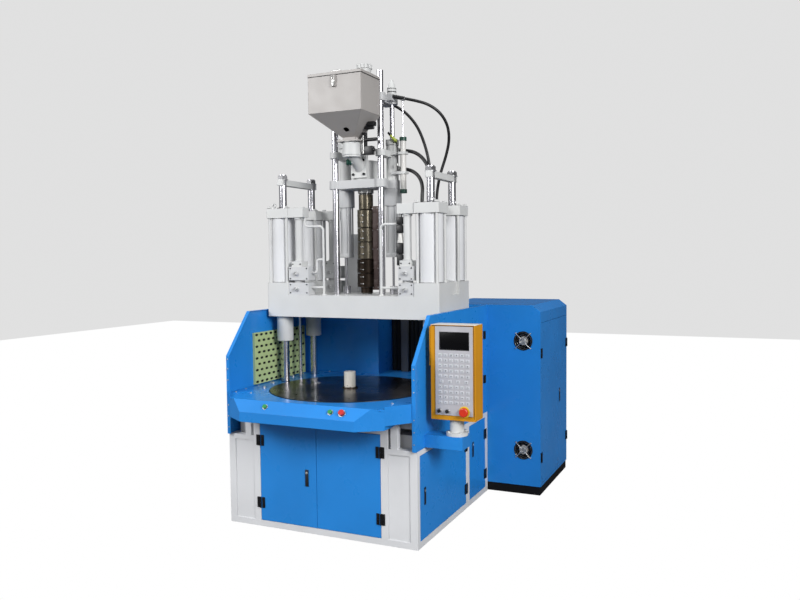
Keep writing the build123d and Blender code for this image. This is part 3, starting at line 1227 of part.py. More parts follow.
def make_guards():
    """Side guards with folded edges, rear sheets, the panel arm and the perforated inner panels."""
    outer = BASE_HALF_WIDTH
    sheet = DECK_SHEET
    inner = outer - sheet
    flange_x = outer - GUARD_FLANGE
    right = prism_along_x(guard_profile(0, GUARD_REAR, BASE_HEIGHT), flange_x, outer)
    right -= prism_along_x(guard_profile(sheet, GUARD_REAR + 1, BASE_HEIGHT - 1), flange_x - 1, inner)
    narrow = outer - GUARD_TOP_FLANGE
    slope_end = GUARD_SLOPE_END + 6
    right -= block(flange_x - 1, narrow, slope_end, GUARD_REAR + 1, GUARD_TOP - 2 * sheet, GUARD_TOP + 1)
    guards = [mirrored(right), right]
    sheet_low = DECK_TOP + REST_GAP
    screen_low = DECK_TOP - 10
    screen_top = GUARD_TOP - 20
    sheets = block(-inner, REAR_SHEET_END, REAR_SHEET_Y, REAR_SHEET_Y + SHEET, sheet_low, screen_top)
    end = REAR_SHEET_END
    sheets += block(end - SHEET, end, REAR_SHEET_Y, REAR_SCREEN_Y, sheet_low, screen_top)
    sheets += block(-inner, inner, REAR_SCREEN_Y - SHEET, REAR_SCREEN_Y, screen_low, screen_top)
    arm = block(outer - 1, ARM_END_X, ARM_FRONT, ARM_REAR, ARM_BOTTOM, ARM_TOP)
    wall = 6
    low = ARM_BOTTOM + wall
    arm -= block(outer - 2, ARM_END_X - wall, ARM_FRONT + wall, ARM_REAR - wall, low, ARM_TOP - wall)
    save(guards[0] + sheets + guards[1] + arm, "side_guards")
    width = PERFORATED_REAR - PERFORATED_FRONT
    height = PERFORATED_TOP - PERFORATED_BOTTOM
    middle_y = (PERFORATED_REAR + PERFORATED_FRONT) / 2
    middle_z = (PERFORATED_TOP + PERFORATED_BOTTOM) / 2
    face_x = inner - PERFORATED_STAND - SHEET
    middle = Pos((face_x + inner) / 2, middle_y, middle_z)
    panel = middle * Box(inner - face_x, width, height)
    panel -= Pos(SHEET, 0, 0) * (middle * Box(inner - face_x, width - 2 * SHEET, height - 2 * SHEET))
    plane = Plane(origin=(face_x - 1, middle_y, middle_z), x_dir=(0, 1, 0), z_dir=(1, 0, 0))
    slots = []
    pitch_y = (width - SLOT_LENGTH - 2 * SLOT_EDGE) / (SLOT_COLUMNS - 0.5)
    pitch_z = (height - SLOT_HEIGHT - 2 * SLOT_EDGE) / (SLOT_ROWS - 1)
    for row in range(SLOT_ROWS):
        shift = pitch_y / 4 if row % 2 else -pitch_y / 4
        for column in range(SLOT_COLUMNS):
            slot_y = (column - (SLOT_COLUMNS - 1) / 2) * pitch_y + shift
            slot_z = (row - (SLOT_ROWS - 1) / 2) * pitch_z
            slots.append(Pos(slot_y, slot_z) * SlotOverall(SLOT_LENGTH, SLOT_HEIGHT))
    panel -= extrude(plane * Sketch(slots), SHEET + 2)
    save_group([mirrored(panel), panel], "perforated_panels")


def make_control_panel():
    """Swivelling control box on its post, with the keypad plate and the emergency stop."""
    rear = PANEL_FRONT + PANEL_DEPTH
    left = PANEL_X - PANEL_WIDTH / 2
    right = PANEL_X + PANEL_WIDTH / 2
    axis_y = (PANEL_FRONT + rear) / 2
    post = rod(PANEL_X, axis_y, post_top, post_top + 22, SWIVEL_FLANGE_R)
    post += rod(PANEL_X, axis_y, post_top + 22, PANEL_BOTTOM - REST_GAP, SWIVEL_POST_R)
    post += rod(PANEL_X, axis_y, PANEL_BOTTOM - REST_GAP, PANEL_BOTTOM + SPIGOT, SPIGOT_R)
    for bolt in range(4):
        angle = radians(45 + 90 * bolt)
        bolt_x = PANEL_X + 60 * cos(angle)
        bolt_y = axis_y + 60 * sin(angle)
        post += hexagon(bolt_x, bolt_y, post_top + 22, post_top + 30, 8)
    save(post, "panel_post")
    box = block(left, right, PANEL_FRONT, rear, PANEL_BOTTOM, PANEL_TOP)
    box = fillet(box.edges().filter_by(Axis.Y), PANEL_CORNER_R)
    box += block(left - PANEL_WING, left + 20, PANEL_FRONT + 8, rear, PANEL_WING_BOTTOM, PANEL_TOP - 12)
    wall = PANEL_WALL
    low = PANEL_BOTTOM + 16
    box -= block(left + wall, right - wall, PANEL_FRONT + wall, rear - wall, low, PANEL_TOP - 16)
    box += rod(PANEL_X, axis_y, PANEL_BOTTOM, PANEL_BOTTOM + SPIGOT + 10, SPIGOT_R + 12)
    box -= rod(PANEL_X, axis_y, PANEL_BOTTOM - 1, PANEL_BOTTOM + SPIGOT + 2, SPIGOT_R + SLIDE_FIT)
    stem_r = 11
    box -= bar((ESTOP_X, PANEL_FRONT - 1, ESTOP_Z), (ESTOP_X, PANEL_FRONT + 20, ESTOP_Z), stem_r + 1)
    save(box, "control_panel")
    key_left = left + 34
    key_right = right - 16
    key_face = PANEL_FRONT - KEYPAD_THICK
    key_low = PANEL_BOTTOM + 33
    plate = block(key_left, key_right, key_face, PANEL_FRONT, key_low, PANEL_TOP - 8)
    screen_middle = key_left + 32 + SCREEN_WIDTH / 2
    half = SCREEN_WIDTH / 2
    screen_low = SCREEN_TOP - SCREEN_HEIGHT
    screen_left = screen_middle - half
    screen_right = screen_middle + half
    plate -= block(screen_left, screen_right, key_face - 1, key_face + 3, screen_low, SCREEN_TOP)
    row_count = 10
    pitch = (KEYS_TOP - KEYS_BOTTOM) / (row_count - 1)
    for row in range(row_count):
        columns = 4 if row == 4 else 6
        key_width = 26
        step = (key_right - key_left - 30) / columns
        for column in range(columns):
            key_x = key_left + 15 + step * (column + 0.5)
            key_z = KEYS_BOTTOM + pitch * row
            plate += Pos(key_x, key_face - 0.75, key_z) * Box(key_width, 1.5, 20)
    for knob_x in (key_left + 27, key_left + 83):
        plate += bar((knob_x, key_face - 8, ESTOP_Z), (knob_x, key_face, ESTOP_Z), KEY_KNOB_R)
        plate += bar((knob_x, key_face - 18, ESTOP_Z), (knob_x, key_face - 8, ESTOP_Z), KEY_KNOB_R - 4)
        plate += block(knob_x - 3, knob_x + 3, key_face - 24, key_face - 18, ESTOP_Z - 10, ESTOP_Z + 10)
    plate -= bar((ESTOP_X, key_face - 1, ESTOP_Z), (ESTOP_X, PANEL_FRONT + 1, ESTOP_Z), stem_r + SLIDE_FIT)
    save(plate, "keypad_plate")
    back = key_face - ESTOP_TRAVEL - 2
    stop = bar((ESTOP_X, back - 20, ESTOP_Z), (ESTOP_X, back, ESTOP_Z), ESTOP_R)
    stop = fillet(stop.edges().filter_by(GeomType.CIRCLE).sort_by(Axis.Y)[0], 8)
    stop += bar((ESTOP_X, back, ESTOP_Z), (ESTOP_X, PANEL_FRONT + 14, ESTOP_Z), stem_r)
    save(stop, "e_stop")


def make_cabinet():
    """Electrical cabinet behind the machine, with its plinth, mounting plate and two fans."""
    front = GUARD_REAR
    wall = DECK_SHEET
    top = CABINET_TOP
    outline = [
        (CABINET_LEFT, PLINTH_HEIGHT),
        (CABINET_RIGHT, PLINTH_HEIGHT),
        (CABINET_RIGHT, top - CABINET_CHAMFER + 15),
        (CABINET_RIGHT - CABINET_CHAMFER, top),
        (CABINET_LEFT, top),
    ]
    face = make_face(Polyline(*[(x, front, z) for x, z in outline], close=True))
    shell = extrude(face, CABINET_REAR - front, dir=(0, 1, 0))
    inside = [
        (CABINET_LEFT + wall, PLINTH_HEIGHT + wall),
        (CABINET_RIGHT - wall, PLINTH_HEIGHT + wall),
        (CABINET_RIGHT - wall, top - CABINET_CHAMFER + 13),
        (CABINET_RIGHT - CABINET_CHAMFER - 2, top - wall),
        (CABINET_LEFT + wall, top - wall),
    ]
    face = make_face(Polyline(*[(x, front + wall, z) for x, z in inside], close=True))
    shell -= extrude(face, CABINET_REAR - front - 2 * wall, dir=(0, 1, 0))
    opening_front = cabinet_front_hinge_y - DOOR_GAP
    opening_rear = cabinet_rear_hinge_y + DOOR_GAP
    right = CABINET_RIGHT + 1
    shell -= block(right - 11, right, opening_front, opening_rear, CABINET_DOOR_BOTTOM, CABINET_DOOR_TOP)
    for fan_z in (FAN_LOWER_Z, FAN_UPPER_Z):
        shell -= bar((FAN_X, front - 1, fan_z), (FAN_X, front + wall + 1, fan_z), FAN_OPENING_R)
    save(shell, "cabinet_shell")
    inset = PLINTH_INSET
    left = CABINET_LEFT + inset
    right = CABINET_RIGHT - inset
    plinth = block(left, right, front + inset, CABINET_REAR - inset, 0, PLINTH_HEIGHT)
    hollow = inset + PLINTH_WALL
    hollow_left = CABINET_LEFT + hollow
    hollow_right = CABINET_RIGHT - hollow
    plinth -= block(hollow_left, hollow_right, front + hollow, CABINET_REAR - hollow, -1, PLINTH_HEIGHT + 1)
    save(plinth, "cabinet_plinth")
    plate_x = CABINET_LEFT + RACK_STAND
    rack_top = RACK_BOTTOM + RACK_HEIGHT
    plate = block(plate_x, plate_x + SHEET, front + 72, CABINET_REAR - 75, RACK_BOTTOM, rack_top)
    for stand_y in (front + 110, CABINET_REAR - 110):
        for stand_z in (RACK_BOTTOM + 40, rack_top - 40):
            plate += bar((CABINET_LEFT + wall, stand_y, stand_z), (plate_x, stand_y, stand_z), 10)
    rail_x = plate_x + SHEET
    unit_x = rail_x + 9
    for row in range(RACK_ROWS):
        rail_z = RACK_BOTTOM + 120 + RACK_ROW_PITCH * row
        plate += block(rail_x, unit_x, front + 100, CABINET_REAR - 100, rail_z - 17, rail_z + 17)
        for column in range(RACK_UNITS):
            unit_y = front + 130 + RACK_UNIT_PITCH * column
            unit_end = unit_y + 88 - 12 * row
            plate += block(unit_x, unit_x + 68, unit_y, unit_end, rail_z - 55, rail_z + 55)
    save(plate, "electrical_plate")
    frames = []
    for node, fan_z in (("fan_rotor_lower", FAN_LOWER_Z), ("fan_rotor_upper", FAN_UPPER_Z)):
        frames.append(fan_frame(fan_z))
        save(fan_rotor(fan_z), node)
    save_group(frames, "fan_frames")


def fan_frame(z):
    """A fan's square housing behind the cabinet wall, its spider and axle, and the wire guard in front."""
    front = GUARD_REAR + DECK_SHEET
    rear = front + FAN_DEPTH
    half = FAN_FRAME / 2
    frame = block(FAN_X - half, FAN_X + half, front, rear, z - half, z + half)
    frame -= bar((FAN_X, front - 1, z), (FAN_X, rear + 1, z), FAN_ROTOR_R + 4)
    frame += block(FAN_X - half, FAN_X + half, rear - 4, rear, z - 6, z + 6)
    frame += block(FAN_X - 6, FAN_X + 6, rear - 4, rear, z - half, z + half)
    frame += bar((FAN_X, rear - 4, z), (FAN_X, rear, z), 24)
    frame += bar((FAN_X, front + 8, z), (FAN_X, rear, z), FAN_AXLE_R)
    wire = 1.6
    guard_y = GUARD_REAR - 8
    for ring in FAN_GUARD_RINGS:
        frame += Pos(FAN_X, guard_y, z) * (Rot(90, 0, 0) * Torus(ring, wire))
    for angle in (45, 135, 225, 315):
        dx = cos(radians(angle))
        dz = sin(radians(angle))
        foot = (FAN_X + FAN_GUARD_FOOT * dx, GUARD_REAR - 3, z + FAN_GUARD_FOOT * dz)
        reach_in = FAN_GUARD_RINGS[0] - 1
        reach_out = FAN_GUARD_RINGS[-1] + 1
        inner_end = (FAN_X + reach_in * dx, guard_y, z + reach_in * dz)
        outer_end = (FAN_X + reach_out * dx, guard_y, z + reach_out * dz)
        frame += bar(inner_end, outer_end, 2.2)
        frame += bar(outer_end, foot, 2.2)
        frame += bar((foot[0], GUARD_REAR - 4, foot[2]), (foot[0], GUARD_REAR, foot[2]), 6)
    return frame


def fan_rotor(z):
    """A fan's hub and blades, which turn on the axle."""
    front = GUARD_REAR + DECK_SHEET + 8
    rear = front + 24
    hub = bar((FAN_X, front, z), (FAN_X, rear, z), FAN_HUB_R)
    for blade in range(FAN_BLADES):
        vane = Rot(55, 0, 0) * Box(FAN_ROTOR_R - FAN_HUB_R + 2, 2, 30)
        vane = Pos((FAN_HUB_R + FAN_ROTOR_R) / 2 - 3, 0, 0) * vane
        hub += Pos(FAN_X, (front + rear) / 2, z) * (Rot(0, 360 / FAN_BLADES * blade, 0) * vane)
    return hub - bar((FAN_X, front - 1, z), (FAN_X, rear + 1, z), FAN_AXLE_R + SLIDE_FIT)


def make_hydraulics():
    """Oil tank and pump set inside the base."""
    tank = block(TANK_LEFT, TANK_RIGHT, TANK_FRONT, TANK_REAR, TANK_FEET, TANK_TOP)
    for x in (TANK_LEFT + 40, TANK_RIGHT - 100):
        tank += block(x, x + TANK_FOOT_WIDTH, TANK_FRONT + 10, TANK_REAR - 10, FLOOR_PLATE, TANK_FEET)
    middle_y = (TANK_FRONT + TANK_REAR) / 2
    tank += rod(TANK_LEFT + 150, middle_y, TANK_TOP, TANK_TOP + 60, 55)
    tank += rod(TANK_RIGHT - 160, middle_y, TANK_TOP, TANK_TOP + 25, 40)
    save(tank, "oil_tank")
    motor_end = PUMP_LEFT + PUMP_MOTOR_LENGTH
    bell_end = motor_end + PUMP_BELL_LENGTH
    pump = bar((PUMP_LEFT, PUMP_Y, PUMP_Z), (motor_end, PUMP_Y, PUMP_Z), PUMP_MOTOR_R)
    pump += bar((motor_end, PUMP_Y, PUMP_Z), (bell_end, PUMP_Y, PUMP_Z), PUMP_BELL_R)
    pump += bar((bell_end, PUMP_Y, PUMP_Z), (bell_end + PUMP_LENGTH, PUMP_Y, PUMP_Z), PUMP_R)
    for foot_x in (PUMP_LEFT + 50, motor_end - 90):
        pump += block(foot_x, foot_x + 40, PUMP_Y - 120, PUMP_Y + 120, FLOOR_PLATE, PUMP_Z - 60)
    box_x = (PUMP_LEFT + motor_end) / 2
    pump += block(box_x - 60, box_x + 80, PUMP_Y - 60, PUMP_Y + 60, PUMP_Z + 100, PUMP_Z + 165)
    save(pump, "pump_set")


def main():
    """Write every piece."""
    os.makedirs("parts", exist_ok=True)
    make_base_frame()
    make_doors()
    make_lower_platen()
    make_table()
    make_tie_bars()
    make_rapid_cylinders()
    make_upper_platen()
    make_clamp_cylinders()
    make_valves()
    make_carriage()
    make_barrel()
    make_hopper()
    make_injection()
    make_hoses()
    make_deck()
    make_guards()
    make_control_panel()
    make_cabinet()
    make_hydraulics()


main()
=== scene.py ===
import math
import bpy
import bmesh
from mathutils import Matrix, Vector


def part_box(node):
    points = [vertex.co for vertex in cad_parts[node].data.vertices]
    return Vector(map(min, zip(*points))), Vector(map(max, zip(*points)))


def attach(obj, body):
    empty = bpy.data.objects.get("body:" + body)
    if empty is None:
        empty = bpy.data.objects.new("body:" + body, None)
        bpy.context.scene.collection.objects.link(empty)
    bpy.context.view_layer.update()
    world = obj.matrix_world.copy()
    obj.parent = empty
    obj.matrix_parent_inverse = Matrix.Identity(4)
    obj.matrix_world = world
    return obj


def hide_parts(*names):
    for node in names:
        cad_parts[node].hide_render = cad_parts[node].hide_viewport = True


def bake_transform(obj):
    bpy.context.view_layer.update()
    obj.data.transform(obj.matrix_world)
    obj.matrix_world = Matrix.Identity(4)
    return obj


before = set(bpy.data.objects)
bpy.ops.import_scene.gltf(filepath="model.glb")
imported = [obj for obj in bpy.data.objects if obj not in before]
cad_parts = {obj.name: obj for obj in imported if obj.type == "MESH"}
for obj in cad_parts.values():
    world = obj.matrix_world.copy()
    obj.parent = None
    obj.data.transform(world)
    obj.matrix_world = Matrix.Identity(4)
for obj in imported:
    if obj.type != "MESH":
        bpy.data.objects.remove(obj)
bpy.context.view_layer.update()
MM = 0.001
SIDES = (-1, 1)


def corners_of(node):
    """A node's lowest and highest corner at rest, in millimetres."""
    return [[round(value / MM, 1) for value in corner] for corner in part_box(node)]


def middle_of(node):
    """A node's middle at rest, in millimetres."""
    return [(low + high) / 2 for low, high in zip(*corners_of(node))]


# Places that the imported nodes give, in millimetres
BASE_FRONT_Y = corners_of("base_frame")[0][1]
BASE_RIGHT_X = corners_of("base_frame")[1][0]
CABINET_RIGHT_X = corners_of("cabinet_shell")[1][0]
HOPPER_HALF_WIDTH = corners_of("hopper")[1][0]
FAN_X = middle_of("fan_frames")[0]
TABLE_Y = middle_of("rotary_table")[1]
SCREW_Y = middle_of("screw_motor")[1]
CYLINDER_Y = middle_of("carriage_cylinders")[1]
E_STOP_X, _, SWITCH_Z = middle_of("e_stop")
SENSOR_X, SENSOR_Y, _ = middle_of("transducer")

# Other places that the pieces share with the CAD model, in millimetres
DECK_Z = 950
CYLINDER_X = 203
THROAT_Y = -163
TIE_X = 618
TIE_YS = (-150, 275)


def srgb(red, green, blue):
    """A colour as seen on screen, 0 to 255, as the linear values that a shader takes."""
    values = []
    for value in (red, green, blue):
        share = value / 255
        values.append(share / 12.92 if share <= 0.04045 else ((share + 0.055) / 1.055) ** 2.4)
    return (*values, 1.0)


# Materials

# The cosine between the true and the softened normal where an edge starts to count, and where it does in full
EDGE_START = 0.98
EDGE_END = 0.75


class Nodes:
    """A node tree, and short calls to add nodes to it."""

    def __init__(self, tree):
        self.nodes = tree.nodes
        self.links = tree.links

    def add(self, kind, sockets=None, **settings):
        """A shader node, with its own settings given by name, and values or links for its sockets."""
        node = self.nodes.new("ShaderNode" + kind)
        for key, value in settings.items():
            setattr(node, key, value)
        self.feed(node, sockets or {})
        return node

    def feed(self, node, sockets):
        """Link outputs into a node's sockets, or set the sockets' values."""
        for socket, value in sockets.items():
            if isinstance(value, bpy.types.NodeSocket):
                self.links.new(value, node.inputs[socket])
            else:
                node.inputs[socket].default_value = value

    def ramp(self, value, low, high, start=0.0, end=1.0):
        """A value spread from one range to another."""
        sockets = {"Value": value, "From Min": low, "From Max": high, "To Min": start, "To Max": end}
        return self.add("MapRange", sockets).outputs["Result"]

    def mix(self, share, first, second):
        """Two colours mixed by a share."""
        return self.add("Mix", {0: share, 6: first, 7: second}, data_type="RGBA").outputs[2]

    def maths(self, operation, *values):
        """A sum on values."""
        return self.add("Math", dict(enumerate(values)), operation=operation).outputs[0]


class Shader(Nodes):
    """A material with a Principled surface."""

    def __init__(self, name, roughness=0.4, metallic=0.0):
        self.material = bpy.data.materials.new(name)
        self.material.use_nodes = True
        super().__init__(self.material.node_tree)
        self.surface = self.nodes["Principled BSDF"]
        self.feed(self.surface, {"Roughness": roughness, "Metallic": metallic})
        self.place = self.add("TexCoord").outputs["Object"]

    def noise(self, scale, detail, stretch=None):
        """Noise over the object, as a value from 0 to 1."""
        place = self.place
        if stretch:
            place = self.add("Mapping", {"Vector": place, "Scale": stretch}).outputs["Vector"]
        sockets = {"Vector": place, "Scale": scale, "Detail": detail}
        return self.add("TexNoise", sockets).outputs["Fac"]

    def bump(self, height, strength, distance, normal):
        """A bumped normal."""
        sockets = {"Height": height, "Strength": strength, "Distance": distance, "Normal": normal}
        return self.add("Bump", sockets).outputs["Normal"]

    def soft_edges(self, radius):
        """A normal that rounds off sharp edges, and a mask of where they are."""
        soft = self.add("Bevel", {"Radius": radius}, samples=4).outputs["Normal"]
        true = self.add("NewGeometry").outputs["Normal"]
        dot = self.add("VectorMath", {0: soft, 1: true}, operation="DOT_PRODUCT")
        return soft, self.ramp(dot.outputs["Value"], EDGE_START, EDGE_END)

    def set(self, **values):
        """Set or link the surface's own sockets."""
        names = {"colour": "Base Color", "roughness": "Roughness", "normal": "Normal", "coat": "Coat Weight",
                 "coat_roughness": "Coat Roughness", "specular": "Specular IOR Level"}
        self.feed(self.surface, {names[key]: value for key, value in values.items()})
        return self.material


def scaled(colour, factor, lift=0.0):
    """A linear colour made darker or brighter."""
    return (*[min(1.0, value * factor + lift) for value in colour[:3]], 1.0)


def paint(name, colour, roughness=0.38, coat=0.0, edge=0.35, edge_colour=None, grime=0.10, radius=1.5,
          specular=0.4):
    """Sprayed machine paint: faint orange peel, slow shade changes, soft edges that are a little worn."""
    shader = Shader(name)
    normal, mask = shader.soft_edges(radius * MM)
    slow = shader.ramp(shader.noise(scale=2.3, detail=4.0), 0.35, 0.65)
    shade = shader.mix(slow, scaled(colour, 1 - grime), colour)
    wear = edge_colour or scaled(colour, 1.25, 0.02)
    broken = shader.ramp(shader.noise(scale=60.0, detail=3.0), 0.45, 0.6)
    share = shader.maths("MULTIPLY", shader.maths("MULTIPLY", mask, broken), edge)
    peel = shader.noise(scale=380.0, detail=2.0)
    gloss = shader.ramp(shader.noise(scale=7.0, detail=4.0), 0.3, 0.7, roughness - 0.05, roughness + 0.07)
    return shader.set(
        colour=shader.mix(share, shade, wear),
        roughness=gloss,
        coat=coat,
        coat_roughness=0.12,
        specular=specular,
        normal=shader.bump(peel, 0.12, 0.0006, normal),
    )


def metal(name, colour, roughness=0.3, brush=(1, 1, 1), stain=0.12, radius=0.8, wave=0.25):
    """Bare metal with a brushed or turned grain, faint stains and soft edges."""
    shader = Shader(name, metallic=1.0)
    normal, mask = shader.soft_edges(radius * MM)
    grain = shader.noise(scale=300.0, detail=3.0, stretch=brush)
    slow = shader.ramp(shader.noise(scale=5.0, detail=5.0), 0.35, 0.7)
    shade = shader.mix(slow, scaled(colour, 1 - stain), colour)
    gloss = shader.maths("ADD", shader.ramp(slow, 0.0, 1.0, roughness, roughness + 0.08),
                         shader.ramp(grain, 0.3, 0.7, -0.03, 0.05))
    return shader.set(
        colour=shader.mix(mask, shade, scaled(colour, 1.15)),
        roughness=gloss,
        normal=shader.bump(grain, wave, 0.0003, normal),
    )


def plastic(name, colour, roughness=0.45, texture=900.0, depth=0.15, coat=0.0):
    """Moulded plastic or rubber with a fine skin."""
    shader = Shader(name)
    normal = shader.soft_edges(0.8 * MM)[0]
    skin = shader.noise(scale=texture, detail=2.0)
    slow = shader.ramp(shader.noise(scale=9.0, detail=4.0), 0.3, 0.7)
    return shader.set(
        colour=shader.mix(slow, scaled(colour, 0.86), colour),
        roughness=shader.ramp(slow, 0.0, 1.0, roughness + 0.06, roughness - 0.03),
        coat=coat,
        normal=shader.bump(skin, depth, 0.0004, normal),
    )


def turned_metal(name, colour, dark, roughness, axis, coat):
    """A faced metal disc: fine rings round an upright axis, given in metres, and oily stains."""
    shader = Shader(name, metallic=1.0)
    normal, mask = shader.soft_edges(1.2 * MM)
    split = shader.add("SeparateXYZ", {0: shader.place})
    across = shader.maths("SUBTRACT", split.outputs[0], axis[0])
    along = shader.maths("SUBTRACT", split.outputs[1], axis[1])
    across = shader.maths("MULTIPLY", across, across)
    along = shader.maths("MULTIPLY", along, along)
    reach = shader.maths("SQRT", shader.maths("ADD", across, along))
    sockets = {"W": reach, "Scale": 260.0, "Detail": 3.0}
    rings = shader.add("TexNoise", sockets, noise_dimensions="1D").outputs["Fac"]
    slow = shader.ramp(shader.noise(scale=3.4, detail=5.0), 0.36, 0.66)
    spots = shader.ramp(shader.noise(scale=22.0, detail=4.0), 0.55, 0.7, 0.0, 0.5)
    shade = shader.mix(spots, shader.mix(slow, dark, colour), dark)
    gloss = shader.maths("ADD", shader.ramp(slow, 0.0, 1.0, roughness + 0.08, roughness),
                         shader.ramp(rings, 0.3, 0.7, -0.03, 0.04))
    return shader.set(
        colour=shader.mix(shader.maths("MULTIPLY", mask, 0.5), shade, srgb(190, 186, 180)),
        roughness=gloss,
        coat=coat,
        normal=shader.bump(rings, 0.15, 0.0003, normal),
    )


def make_materials():
    """Every material, by the name that the pieces ask for."""
    return {
        "white": paint("white_paint", srgb(204, 205, 204), 0.42, edge_colour=srgb(142, 140, 138)),
        "grey": paint("grey_paint", srgb(216, 217, 219), 0.42),
        "block": paint("block_paint", srgb(200, 201, 202), 0.38, grime=0.16),
        "shade": paint("shaded_white_paint", srgb(190, 191, 192), 0.42, grime=0.16,
                       edge_colour=srgb(132, 130, 128)),
        "satin": paint("satin_aluminium", srgb(208, 206, 202), 0.34, grime=0.08, specular=0.6),
        "blue": paint("blue_paint", srgb(38, 131, 211), 0.30, coat=0.22, edge=0.2, specular=0.2),
        "green": paint("green_paint", srgb(178, 196, 140), 0.5, edge=0.2),
        "black": paint("black_paint", srgb(20, 20, 22), 0.55, specular=0.15),
        "ochre": paint("ochre_paint", srgb(200, 138, 24), 0.40, coat=0.08, edge=0.2, specular=0.2),
        "hopper": paint("hopper_paint", srgb(165, 161, 158), 0.40, edge=0.3, grime=0.06),
        "chrome": metal("chromed_rod", srgb(212, 211, 216), 0.17, brush=(1, 1, 0.02), stain=0.05, wave=0.0),
        "steel": metal("machined_steel", srgb(180, 180, 178), 0.32),
        "shade_steel": metal("nut_steel", srgb(128, 128, 130), 0.40, stain=0.3),
        "bright": metal("bright_steel", srgb(214, 214, 211), 0.36),
        "table": turned_metal("table_steel", srgb(104, 92, 82), srgb(44, 38, 34), 0.26,
                              axis=(0.0, TABLE_Y * MM), coat=0.12),
        "iron": paint("cast_iron_grey", srgb(92, 94, 98), 0.6, grime=0.3),
        "brassy": metal("band_nickel", srgb(116, 109, 95), 0.24, brush=(1, 1, 0.1), stain=0.35),
        "burnt": metal("band_dark", srgb(56, 48, 42), 0.38, brush=(1, 1, 0.1), stain=0.45),
        "duct": paint("duct_brown", srgb(82, 64, 60), 0.6, grime=0.55, edge=0.7,
                      edge_colour=srgb(190, 176, 160), radius=3.0),
        "post": paint("post_steel", srgb(226, 222, 212), 0.25, grime=0.3, specular=0.7),
        "rubber": plastic("hose_rubber", srgb(20, 20, 22), 0.45, 500.0, 0.3),
        "black_plastic": plastic("black_plastic", srgb(24, 24, 26), 0.42),
        "grey_plastic": plastic("keypad_grey", srgb(177, 176, 181), 0.5),
        "key_plastic": plastic("key_white", srgb(192, 194, 199), 0.42),
        "green_plastic": plastic("button_green", srgb(30, 140, 66), 0.3, coat=0.5),
        "red_plastic": plastic("button_red", srgb(196, 30, 22), 0.3, coat=0.4),
        "stop_red": plastic("stop_red", srgb(204, 46, 18), 0.34, coat=0.3),
        "yellow_plastic": plastic("yellow_ring", srgb(226, 190, 40), 0.4),
        "lime_plastic": plastic("lime_connector", srgb(176, 190, 84), 0.45),
        "teal_plastic": plastic("dark_green_cap", srgb(22, 66, 54), 0.4),
        "glass": paint("screen_glass", srgb(9, 9, 11), 0.3, edge=0.0, grime=0.3, specular=0.12),
        # Matt black that paints the shade seen through the perforated panels and in the opening behind the
        # deck
        "shade_black": plastic("painted_shade_black", srgb(17, 17, 19), 0.6, 300.0, 0.3),
        "zinc": metal("zinc_bolts", srgb(180, 181, 182), 0.34, radius=0.5),
        "dark_bolt": metal("black_bolts", srgb(44, 44, 46), 0.42, radius=0.5),
    }


MATERIALS = make_materials()
NODE_MATERIALS = {
    "grey": ["base_frame", "clamp_barrels"],
    "block": ["valve_blocks"],
    "shade": ["carriage_cylinders", "carriage_plate", "crosshead"],
    "white": ["lower_platen", "upper_platen", "cross_bars", "clamp_caps", "tie_bar_sleeves",
              "rapid_cylinders", "barrel_head", "screw_motor", "panel_post",
              "injection_cylinders", "oil_pipes"],
    "blue": ["side_guards", "side_door_front", "side_door_rear", "oil_tank", "front_deck", "front_door_left",
             "front_door_right", "cabinet_shell", "cabinet_door_front", "cabinet_door_rear"],
    "green": ["perforated_panels"],
    "chrome": ["tie_bars", "rapid_rods", "guide_columns", "injection_rods"],
    "steel": ["barrel", "screw", "electrical_plate"],
    "shade_steel": ["tie_bar_nuts"],
    "satin": ["transducer"],
    "post": ["centre_post"],
    "table": ["rotary_table"],
    "iron": ["table_bearing", "table_motor", "pump_set"],
    "black": ["cabinet_plinth", "hinge_leaves"],
    "black_plastic": ["fan_frames", "fan_rotor_lower", "fan_rotor_upper"],
    "hopper": ["hopper", "hopper_lid"],
    "burnt": ["heater_bands"],
    "ochre": ["control_panel"],
    "grey_plastic": ["keypad_plate"],
    "green_plastic": ["start_button_left", "start_button_right"],
    "red_plastic": ["stop_button"],
    "stop_red": ["e_stop"],
}


def dress_nodes():
    """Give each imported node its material."""
    for key, names in NODE_MATERIALS.items():
        for name in names:
            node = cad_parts[name]
            node.data.materials.clear()
            node.data.materials.append(MATERIALS[key])


# Hoses: each one's route in millimetres, its radius, and the bodies that hold its ends

SMALL_HOSE_R = 11
LARGE_HOSE_R = 13.5
HOSES = {
    "hose_1": ([
        (330, 60, 3088), (412, 84, 3070), (500, 130, 3040), (568, 190, 2980), (597, 256, 2895),
        (584, 316, 2792), (544, 344, 2680), (502, 346, 2570), (478, 338, 2465), (468, 330, 2346),
        (468, 330, 2230),
    ], SMALL_HOSE_R, ("injection", "carriage")),
    "hose_2": ([
        (172, 168, 3078), (245, 166, 3040), (322, 162, 2975), (391, 156, 2888), (439, 150, 2785),
        (474, 146, 2675), (494, 143, 2565), (503, 141, 2455), (502, 142, 2346), (502, 142, 2230),
    ], SMALL_HOSE_R, ("injection", "carriage")),
    "hose_3": ([
        (262, 118, 2716), (330, 118, 2712), (400, 116, 2688), (458, 110, 2640), (500, 102, 2572),
        (524, 92, 2490), (533, 80, 2400), (535, 74, 2333), (535, 74, 2273),
    ], LARGE_HOSE_R, ("carriage", "platen")),
    "hose_4": ([
        (262, 118, 2580), (325, 115, 2573), (389, 108, 2544), (437, 93, 2495), (462, 75, 2431),
        (461, 62, 2345), (461, 62, 2273),
    ], LARGE_HOSE_R, ("carriage", "platen")),
}


